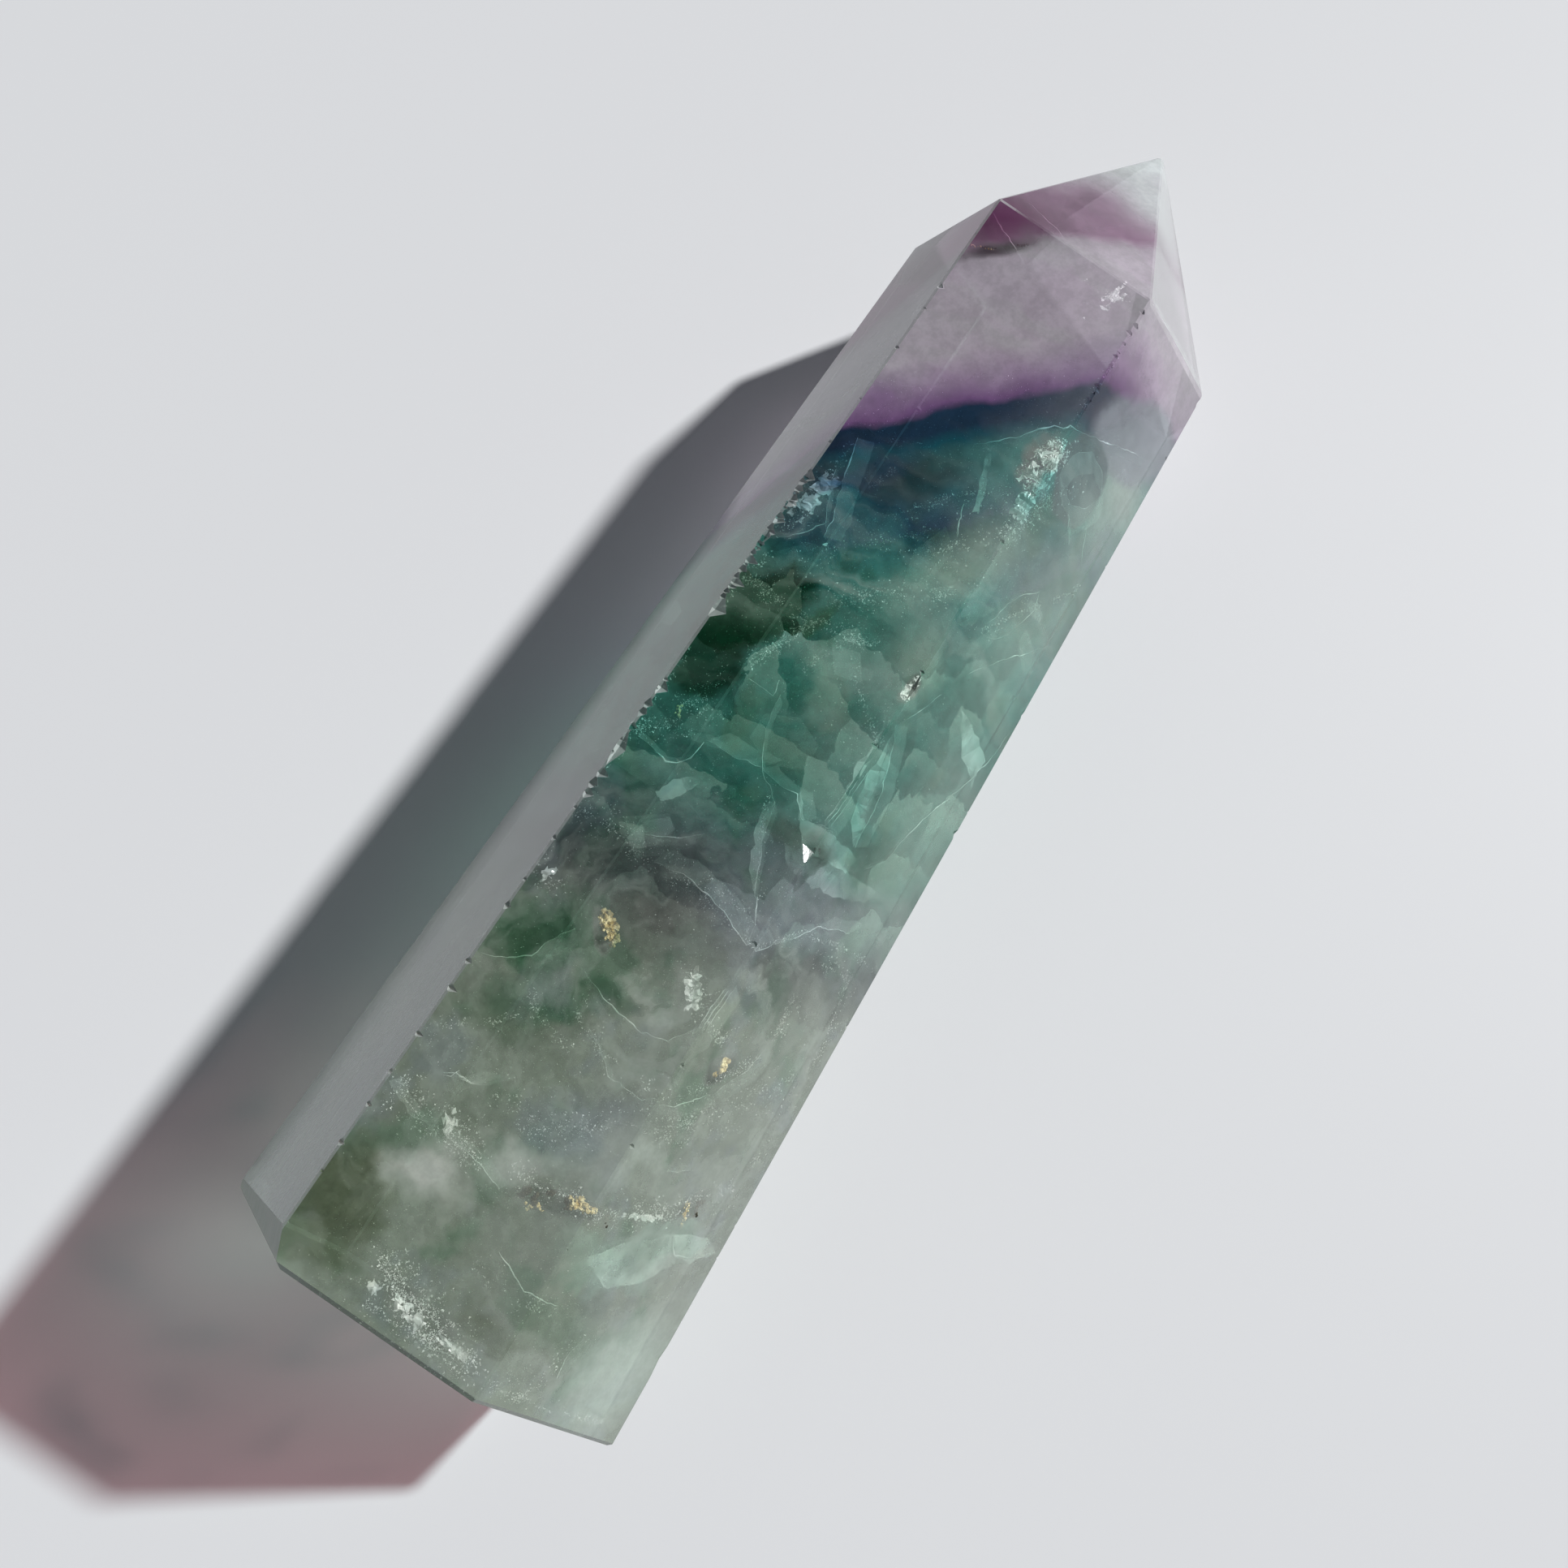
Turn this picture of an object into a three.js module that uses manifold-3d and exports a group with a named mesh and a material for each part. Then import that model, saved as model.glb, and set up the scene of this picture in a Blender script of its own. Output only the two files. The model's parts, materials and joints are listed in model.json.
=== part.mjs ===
// A fluorite tower: one piece of natural fluorite, ground and polished into a slightly
// tapered six-sided column with a six-facet point, lying on one of its long sides.
// Millimetres, +Z up. +X runs from the foot to the tip. The origin is on the surface that
// the tower lies on, under the middle of its bounding box.

import * as THREE from 'three';
import { mergeVertices } from 'three/addons/utils/BufferGeometryUtils.js';
import Module from 'manifold-3d';

const wasm = await Module();
wasm.setup();

// ---------------------------------------------------------------------------------------
// Driving dimensions. They describe the tower standing upright, with the middle of its foot
// at the origin and its axis along +Z. Lengths are in millimetres and angles in degrees.
// ---------------------------------------------------------------------------------------

const TOWER_HEIGHT = 106;

// The six long sides, in order round the axis. azimuth is the way a side faces, reach is its
// distance from the axis at the foot, and lean is how far it tips in towards the axis.
// shoulder is the height at which the point starts on the edge shared with the next side.
const SIDES = [
  { name: 'rest', azimuth: 270, reach: 13.9, lean: 1.7, shoulder: 88.4 },
  { name: 'low_left', azimuth: 331, reach: 13.8, lean: 1.8, shoulder: 88.3 },
  { name: 'left', azimuth: 390.2, reach: 13.9, lean: 1.65, shoulder: 88.9 },
  { name: 'top', azimuth: 451.4, reach: 13.9, lean: 1.85, shoulder: 87.5 },
  { name: 'right', azimuth: 510.5, reach: 13.8, lean: 1.65, shoulder: 88.9 },
  { name: 'low_right', azimuth: 572.6, reach: 13.85, lean: 1.9, shoulder: 88.4 },
];

const TIP_OFFSET = -0.1; // the tip is this far off the axis, across the rest side
const TIP_BLUNT = 0.5; // polished off the very tip
const FOOT_TILT = 3; // the foot is cut this far off square, deepest at the top side

// Depth taken off the sharp edges by the polishing.
const LONG_EDGE_EASE = 0.07;
const FOOT_EDGE_EASE = 0.22;
const SHOULDER_EASE = 0.03;
const BRIGHT_SHOULDER_EASE = 0.08;
const TIP_EDGE_EASE = 0.05;

// The bevel ground where the foot meets the left side, in two flats. Each size is how far
// up the side, or in along the foot, the bevel starts.
const FOOT_BEVEL_AT_TOP = 2.3;
const FOOT_BEVEL_INWARD = 1.1;
const FOOT_BEVEL_AT_LOW = 1.0;
const FOOT_BEVEL_BREAK = 0.45;

// Stretches of edge that are bruised by small chips. Each is on the edge between a side and
// the next one in SIDES. size is the length of a typical chip.
const BRUISED_EDGES = [
  { side: 'left', from: 51, to: 63.5, count: 26, size: 0.8 },
  { side: 'left', from: 34, to: 46, count: 11, size: 0.75 },
  { side: 'left', from: 5, to: 33, count: 10, size: 0.55 },
  { side: 'left', from: 64, to: 87, count: 6, size: 0.45 },
  { side: 'top', from: 77, to: 86.5, count: 12, size: 0.5 },
  { side: 'top', from: 6, to: 76, count: 9, size: 0.5 },
  { side: 'right', from: 4, to: 86, count: 10, size: 0.5 },
  { side: 'rest', from: 6, to: 84, count: 9, size: 0.6 },
  { side: 'low_left', from: 6, to: 84, count: 8, size: 0.5 },
  { side: 'low_right', from: 6, to: 84, count: 9, size: 0.6 },
];

// Single larger chips, at a height on an edge.
const LARGE_CHIPS = [
  { side: 'left', height: 57.6, length: 2.0, depth: 0.55 },
  { side: 'left', height: 60.6, length: 1.5, depth: 0.45 },
  { side: 'left', height: 51.2, length: 2.2, depth: 0.5 },
  { side: 'left', height: 39.6, length: 2.6, depth: 0.5 },
  { side: 'left', height: 44.6, length: 1.4, depth: 0.4 },
  { side: 'top', height: 53.6, length: 2.4, depth: 0.55 },
  { side: 'top', height: 40.4, length: 2.0, depth: 0.5 },
  { side: 'right', height: 59.4, length: 1.2, depth: 0.3 },
  { side: 'right', height: 48.9, length: 1.3, depth: 0.35 },
  { side: 'right', height: 16.8, length: 1.2, depth: 0.35 },
  { side: 'right', height: 6.6, length: 3.2, depth: 0.4 },
  { side: 'right', height: 88.2, length: 1.8, depth: 0.35 },
];

const CHIP_DEPTH = 0.42; // depth of a small chip, as a share of its length
const CHIP_WIDTH = 2; // width of a chip across its edge, as a multiple of its depth
const CHIP_JITTER = 0.28; // how irregular a chip is, as a share of its size
const CHIP_SHORTEST = 0.6; // length of the shortest small chip, as a share of the typical one
const CHIP_LONGEST = 1.5; // length of the longest small chip, as a share of the typical one
const CHIP_PLAY = 0.6; // how far a small chip may stray in its share of the stretch
const CHIP_TURN = 36; // how far a chip may turn about its edge, either way
const CHIP_SEED = 11;

// Blocks large enough to hold the whole tower, and to grind away all that is past a plane.
const ROUGH_WIDTH = 60;
const ROUGH_HEIGHT = 130;
const GRINDER_SIZE = 400;

// ---------------------------------------------------------------------------------------
// Geometry helpers
// ---------------------------------------------------------------------------------------

const radians = THREE.MathUtils.degToRad;
const UP = new THREE.Vector3(0, 0, 1);

/** A repeatable source of numbers from 0 to 1: a Lehmer generator. */
function randomSource(seed) {
  const multiplier = 16807;
  const modulus = 2 ** 31 - 1;
  let state = seed;
  return () => {
    state = (state * multiplier) % modulus;
    return state / modulus;
  };
}

/** A random number from -1 to 1. */
function either(random) {
  return 2 * random() - 1;
}

/** A closed geometry with nothing but shared positions. */
function bareShape(geometry) {
  const bare = geometry.clone();
  bare.deleteAttribute('normal');
  bare.deleteAttribute('uv');
  return mergeVertices(bare);
}

/** A closed three.js geometry as a solid that can be cut. */
function toSolid(geometry) {
  const merged = bareShape(geometry);
  const mesh = new wasm.Mesh({
    numProp: 3,
    vertProperties: new Float32Array(merged.attributes.position.array),
    triVerts: new Uint32Array(merged.index.array),
  });
  return new wasm.Manifold(mesh);
}

/** A solid as a three.js geometry. */
function toGeometry(solid) {
  const { vertProperties, triVerts } = solid.getMesh();
  const geometry = new THREE.BufferGeometry();
  geometry.setAttribute('position', new THREE.BufferAttribute(vertProperties, 3));
  geometry.setIndex(new THREE.BufferAttribute(triVerts, 1));
  return geometry;
}

/** Takes off everything on the side of a plane that its normal points to. */
function grind(solid, plane) {
  const grinder = new THREE.BoxGeometry(GRINDER_SIZE, GRINDER_SIZE, GRINDER_SIZE);
  grinder.translate(0, 0, GRINDER_SIZE / 2);
  grinder.applyQuaternion(new THREE.Quaternion().setFromUnitVectors(UP, plane.normal));
  const onPlane = plane.coplanarPoint(new THREE.Vector3());
  grinder.translate(onPlane.x, onPlane.y, onPlane.z);
  return solid.subtract(toSolid(grinder));
}

/** The point that three planes share. */
function meeting(a, b, c) {
  const bc = b.normal.clone().cross(c.normal);
  const ca = c.normal.clone().cross(a.normal);
  const ab = a.normal.clone().cross(b.normal);
  const point = bc.multiplyScalar(-a.constant);
  point.addScaledVector(ca, -b.constant);
  point.addScaledVector(ab, -c.constant);
  return point.divideScalar(a.normal.dot(b.normal.clone().cross(c.normal)));
}

/** The plane through three points, facing away from the middle of the tower. */
function planeThrough(a, b, c) {
  const plane = new THREE.Plane().setFromCoplanarPoints(a, b, c);
  const middle = new THREE.Vector3(0, 0, TOWER_HEIGHT / 2);
  return plane.distanceToPoint(middle) > 0 ? plane.negate() : plane;
}

/** The plane that takes a given depth off the sharp edge between two planes. */
function easingPlane(a, b, onEdge, depth) {
  const normal = a.normal.clone().add(b.normal).normalize();
  const start = onEdge.clone().addScaledVector(normal, -depth);
  return new THREE.Plane().setFromNormalAndCoplanarPoint(normal, start);
}

// ---------------------------------------------------------------------------------------
// The planes and corners of the sharp tower
// ---------------------------------------------------------------------------------------

function sidePlane({ azimuth, reach, lean }) {
  const outward = new THREE.Vector3(Math.cos(radians(azimuth)), Math.sin(radians(azimuth)), 0);
  const normal = outward.clone().multiplyScalar(Math.cos(radians(lean)));
  normal.z = Math.sin(radians(lean));
  return new THREE.Plane().setFromNormalAndCoplanarPoint(normal, outward.multiplyScalar(reach));
}

function levelPlane(height) {
  return new THREE.Plane(UP.clone(), -height);
}

const next = (i) => (i + 1) % SIDES.length;
const previous = (i) => (i + SIDES.length - 1) % SIDES.length;

const sides = SIDES.map(sidePlane);
const footNormal = new THREE.Vector3(0, Math.sin(radians(FOOT_TILT)), -Math.cos(radians(FOOT_TILT)));
const foot = new THREE.Plane(footNormal, 0);
const tip = new THREE.Vector3(0, TIP_OFFSET, TOWER_HEIGHT);

// Corner i of the foot and of the shoulder lies between side i and the next side.
const footCorners = sides.map((side, i) => meeting(side, sides[next(i)], foot));
const shoulderCorners = sides.map((side, i) =>
  meeting(side, sides[next(i)], levelPlane(SIDES[i].shoulder)),
);
const facets = sides.map((side, i) =>
  planeThrough(tip, shoulderCorners[previous(i)], shoulderCorners[i]),
);

/** The point at a height on the sharp edge between a named side and the next one. */
function onLongEdge(sideName, height) {
  const i = SIDES.findIndex(({ name }) => name === sideName);
  return meeting(sides[i], sides[next(i)], levelPlane(height));
}

// ---------------------------------------------------------------------------------------
// The ground and polished tower
// ---------------------------------------------------------------------------------------

/** The tower with its flat sides, facets and foot, before any edge is eased. */
function groundTower() {
  const rough = new THREE.BoxGeometry(ROUGH_WIDTH, ROUGH_WIDTH, ROUGH_HEIGHT);
  rough.translate(0, 0, TOWER_HEIGHT / 2);
  return [...sides, ...facets, foot].reduce(grind, toSolid(rough));
}

/** The two flats of the bevel between the foot and the left side. */
function footBevelPlanes() {
  const left = SIDES.findIndex(({ name }) => name === 'left');
  const topCorner = footCorners[left];
  const lowCorner = footCorners[previous(left)];
  const alongTopSide = footCorners[next(left)].clone().sub(topCorner).normalize();
  const upTopEdge = shoulderCorners[left].clone().sub(topCorner).normalize();
  const upLowEdge = shoulderCorners[previous(left)].clone().sub(lowCorner).normalize();
  const topStart = topCorner.clone().addScaledVector(upTopEdge, FOOT_BEVEL_AT_TOP);
  const footStart = topCorner.clone().addScaledVector(alongTopSide, FOOT_BEVEL_INWARD);
  const lowStart = lowCorner.clone().addScaledVector(upLowEdge, FOOT_BEVEL_AT_LOW);
  const main = planeThrough(topStart, footStart, lowStart);
  return [main, easingPlane(main, foot, footStart, FOOT_BEVEL_BREAK / 2)];
}

/** The planes that ease every sharp edge of the tower. */
function easingPlanes() {
  const planes = [];
  sides.forEach((side, i) => {
    const brightEdge = SIDES[i].name === 'right';
    const shoulderEase = brightEdge ? BRIGHT_SHOULDER_EASE : SHOULDER_EASE;
    planes.push(easingPlane(side, sides[next(i)], footCorners[i], LONG_EDGE_EASE));
    planes.push(easingPlane(side, foot, footCorners[i], FOOT_EDGE_EASE));
    planes.push(easingPlane(side, facets[i], shoulderCorners[i], shoulderEase));
    planes.push(easingPlane(facets[i], facets[next(i)], tip, TIP_EDGE_EASE));
  });
  return planes;
}

// ---------------------------------------------------------------------------------------
// Chips along the edges
// ---------------------------------------------------------------------------------------

/** A chip's shape: an uneven octahedron, as fluorite breaks along octahedral planes. */
function chipShape(length, depth, random) {
  const shape = bareShape(new THREE.OctahedronGeometry(1));
  const position = shape.attributes.position;
  const uneven = (value) => value * (1 + CHIP_JITTER * either(random)) + (CHIP_JITTER / 2) * either(random);
  for (let i = 0; i < position.count; i += 1) {
    const out = uneven(position.getX(i)) * depth;
    const across = uneven(position.getY(i)) * depth * CHIP_WIDTH;
    const along = (uneven(position.getZ(i)) * length) / 2;
    position.setXYZ(i, out, across, along);
  }
  return shape;
}

/** Breaks one chip out of a long edge. */
function chipEdge(solid, { side, height, length, depth }, random) {
  const place = onLongEdge(side, height);
  const along = onLongEdge(side, height + 1).sub(place).normalize();
  const outward = new THREE.Vector3(place.x, place.y, 0).normalize();
  const across = along.clone().cross(outward).normalize();
  const turn = new THREE.Matrix4().makeBasis(across.clone().cross(along), across, along);
  const shape = chipShape(length, depth, random);
  shape.rotateZ(radians(CHIP_TURN) * either(random));
  shape.applyMatrix4(turn);
  shape.translate(place.x, place.y, place.z);
  return solid.subtract(toSolid(shape));
}

/** All chips, large ones first. */
function chipList(random) {
  const small = BRUISED_EDGES.flatMap(({ side, from, to, count, size }) =>
    Array.from({ length: count }, (_, i) => {
      const place = i + 0.5 + (CHIP_PLAY / 2) * either(random);
      const height = from + ((to - from) * place) / count;
      const length = size * THREE.MathUtils.lerp(CHIP_SHORTEST, CHIP_LONGEST, random());
      return { side, height, length, depth: length * CHIP_DEPTH };
    }),
  );
  return [...LARGE_CHIPS, ...small];
}

// ---------------------------------------------------------------------------------------
// The finished piece, laid down on its rest side
// ---------------------------------------------------------------------------------------

function finishedTower() {
  const random = randomSource(CHIP_SEED);
  const blunt = levelPlane(TOWER_HEIGHT - TIP_BLUNT);
  const polished = [...easingPlanes(), ...footBevelPlanes(), blunt].reduce(grind, groundTower());
  return chipList(random).reduce((solid, chip) => chipEdge(solid, chip, random), polished);
}

/** Turns the upright tower so that its rest side faces straight down and its tip points to +X. */
function layDown() {
  const upright = new THREE.Matrix4().makeBasis(
    new THREE.Vector3(0, 1, 0),
    new THREE.Vector3(0, 0, 1),
    new THREE.Vector3(1, 0, 0),
  );
  return new THREE.Matrix4().makeRotationY(radians(SIDES[0].lean)).multiply(upright);
}

const material = new THREE.MeshStandardMaterial({
  color: 0x9db3a6,
  roughness: 0.08,
  metalness: 0,
  transparent: true,
  opacity: 0.75,
  flatShading: true,
});
const tower = new THREE.Mesh(toGeometry(finishedTower()), material);
tower.name = 'fluorite_tower';
tower.quaternion.setFromRotationMatrix(layDown());
tower.updateMatrixWorld();

const box = new THREE.Box3().setFromObject(tower, true);
const middle = box.getCenter(new THREE.Vector3());
tower.position.set(-middle.x, -middle.y, -box.min.z);

const group = new THREE.Group();
group.add(tower);

export default group;
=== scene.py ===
"""Looks of a polished fluorite tower lying on a pale table.

The tower is one natural crystal: see-through fluorite with planar colour zones, milky veils,
cleavage cracks and iron-stained specks inside it. Lengths in the tables below are millimetres in
the part's own frame: +X runs from the foot to the tip and +Z is up.
"""

import json
import logging
import math
import random
from dataclasses import dataclass, field
from enum import Enum

import bmesh
import bpy
from mathutils import Euler, Matrix, Vector, noise
from mathutils.bvhtree import BVHTree

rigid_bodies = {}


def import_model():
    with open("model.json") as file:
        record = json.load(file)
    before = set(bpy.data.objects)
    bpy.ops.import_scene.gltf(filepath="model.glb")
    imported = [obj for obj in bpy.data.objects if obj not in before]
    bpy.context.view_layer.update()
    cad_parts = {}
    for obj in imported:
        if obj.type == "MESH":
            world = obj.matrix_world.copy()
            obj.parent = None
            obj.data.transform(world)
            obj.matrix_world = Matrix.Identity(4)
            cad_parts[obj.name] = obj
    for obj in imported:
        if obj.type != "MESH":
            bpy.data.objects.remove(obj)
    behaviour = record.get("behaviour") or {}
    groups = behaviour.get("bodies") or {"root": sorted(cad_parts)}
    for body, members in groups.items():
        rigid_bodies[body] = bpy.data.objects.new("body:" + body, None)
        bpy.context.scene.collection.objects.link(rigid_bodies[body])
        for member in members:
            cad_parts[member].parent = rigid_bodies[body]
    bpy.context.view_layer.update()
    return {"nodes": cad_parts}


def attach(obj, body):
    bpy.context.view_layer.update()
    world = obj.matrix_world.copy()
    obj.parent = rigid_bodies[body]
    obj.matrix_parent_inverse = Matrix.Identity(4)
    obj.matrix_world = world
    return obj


frame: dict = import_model()

Pair = tuple[float, float]
Point = tuple[float, float, float]
Course = tuple[Point, ...]
Socket = bpy.types.NodeSocket
Value = Socket | float

LOG = logging.getLogger("fluorite_tower")
MM = 0.001
# What places and normals are measured along.
X_AXIS, Y_AXIS, Z_AXIS = (1.0, 0.0, 0.0), (0.0, 1.0, 0.0), (0.0, 0.0, 1.0)
# Noise values mostly lie between these two, and this gain turns them to about -1 to 1.
NOISE_SPAN = (0.3, 0.7)
NOISE_MIDDLE = (0.5, 0.5, 0.5)
NOISE_GAIN = 4
STONE_NODE = "fluorite_tower"
BODY = "root"
# Start of the noise vectors: without it they would differ from run to run.
NOISE_SEED = 11


def linear(hex_code: str) -> tuple[float, float, float, float]:
    """Turns an sRGB hex colour to linear light.

    Args:
        hex_code: colour as six hex digits.

    Returns:
        Linear red, green and blue, and an alpha of one.
    """
    # The sRGB curve is straight near black, and a power curve above that.
    channels = []
    for start in (0, 2, 4):
        value = int(hex_code[start : start + 2], 16) / 255
        low = value / 12.92
        channels.append(low if value <= 0.04045 else ((value + 0.055) / 1.055) ** 2.4)
    return (*channels, 1.0)


def add_node(
    tree: bpy.types.NodeTree,
    kind: str,
    settings: dict[str, object] | None = None,
    inputs: dict[int | str, object] | None = None,
) -> bpy.types.Node:
    """Adds one shader node.

    Args:
        tree: node tree that takes the node.
        kind: the node's type, without its "ShaderNode" start.
        settings: properties of the node.
        inputs: a value, or an output socket to link, for each input by name or number.

    Returns:
        The new node.
    """
    node = tree.nodes.new("ShaderNode" + kind)
    for name, value in (settings or {}).items():
        setattr(node, name, value)
    for key, value in (inputs or {}).items():
        if isinstance(value, Socket):
            tree.links.new(value, node.inputs[key])
        else:
            node.inputs[key].default_value = value
    return node


def blend(tree: bpy.types.NodeTree, share: Value, first: object, second: object) -> Socket:
    """Adds a node that goes from one colour to another by a share.

    Args:
        tree: node tree that takes the node.
        share: 0 for the first colour, 1 for the second.
        first: the first colour.
        second: the second colour.

    Returns:
        The colour between them.
    """
    # Inputs 6 and 7 of a mix node take colours, where 2 and 3 take numbers.
    inputs = {0: share, 6: first, 7: second}
    return add_node(tree, "Mix", {"data_type": "RGBA"}, inputs).outputs[2]


def new_material(name: str) -> tuple[bpy.types.Material, bpy.types.NodeTree]:
    """Makes a material with shader nodes.

    Args:
        name: the material's name.

    Returns:
        The material and its node tree.
    """
    material = bpy.data.materials.new(name)
    material.use_nodes = True
    return material, material.node_tree


class Tint(Enum):
    """Colours of the stone: sRGB hex, and how see-through such stone is, from 0 to 1."""

    MAGENTA = ("8a3472", 0.82)
    PLUM = ("634a5b", 0.86)
    ORCHID = ("ad81a3", 0.75)
    DEEP_VIOLET = ("a973ba", 0.8)
    VIOLET = ("c6a7ce", 0.7)
    LILAC = ("d6cbd8", 0.6)
    ROSE = ("b1a6b2", 0.5)
    CLEAR = ("dbe1e2", 0.5)
    INK = ("18426c", 0.88)
    PETROL = ("127389", 0.88)
    DEEP_PETROL = ("043947", 0.9)
    STEEL = ("384a5c", 0.84)
    SLATE = ("759396", 0.8)
    TEAL = ("5ab6a4", 0.84)
    SEA = ("6ad0c0", 0.84)
    EMERALD = ("066038", 0.9)
    FERN = ("55956b", 0.86)
    JADE = ("b2d8c0", 0.65)
    MINT = ("d0e8d8", 0.5)
    SMOKE = ("757f7d", 0.82)
    UMBER = ("a9aba3", 0.82)
    MAUVE = ("b4c1ca", 0.72)
    SAGE = ("b4c1ae", 0.72)
    MOSS = ("98b194", 0.8)
    OLIVE = ("9daa87", 0.86)
    MIST = ("bac6bb", 0.5)
    MILK = ("dce0d8", 0.4)
    WINDOW = ("ebf4e6", 0.95)

    @property
    def colour(self) -> tuple[float, float, float, float]:
        """The tint in linear light."""
        return linear(self.value[0])

    @property
    def clear(self) -> float:
        """Share of light that passes into stone of this tint."""
        return self.value[1]


class Edge(Enum):
    """How a colour zone ends: along a smooth line, along cleavage blocks, or in wisps."""

    SMOOTH = "smooth"
    TORN = "torn"
    WISPY = "wispy"


@dataclass(frozen=True)
class Zone:
    """A soft-edged region of one colour inside the stone.

    Attributes:
        tint: colour of the region.
        centre: its middle.
        half: half its size along its own axes.
        turn: turn of its long axis about +Z, in degrees.
        strength: share of the colour it gives where it is fullest.
        soft: share of its radius over which it fades out.
        edge: how it ends.
    """

    tint: Tint
    centre: Point
    half: Point
    turn: float
    strength: float
    soft: float
    edge: Edge = Edge.SMOOTH


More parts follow.
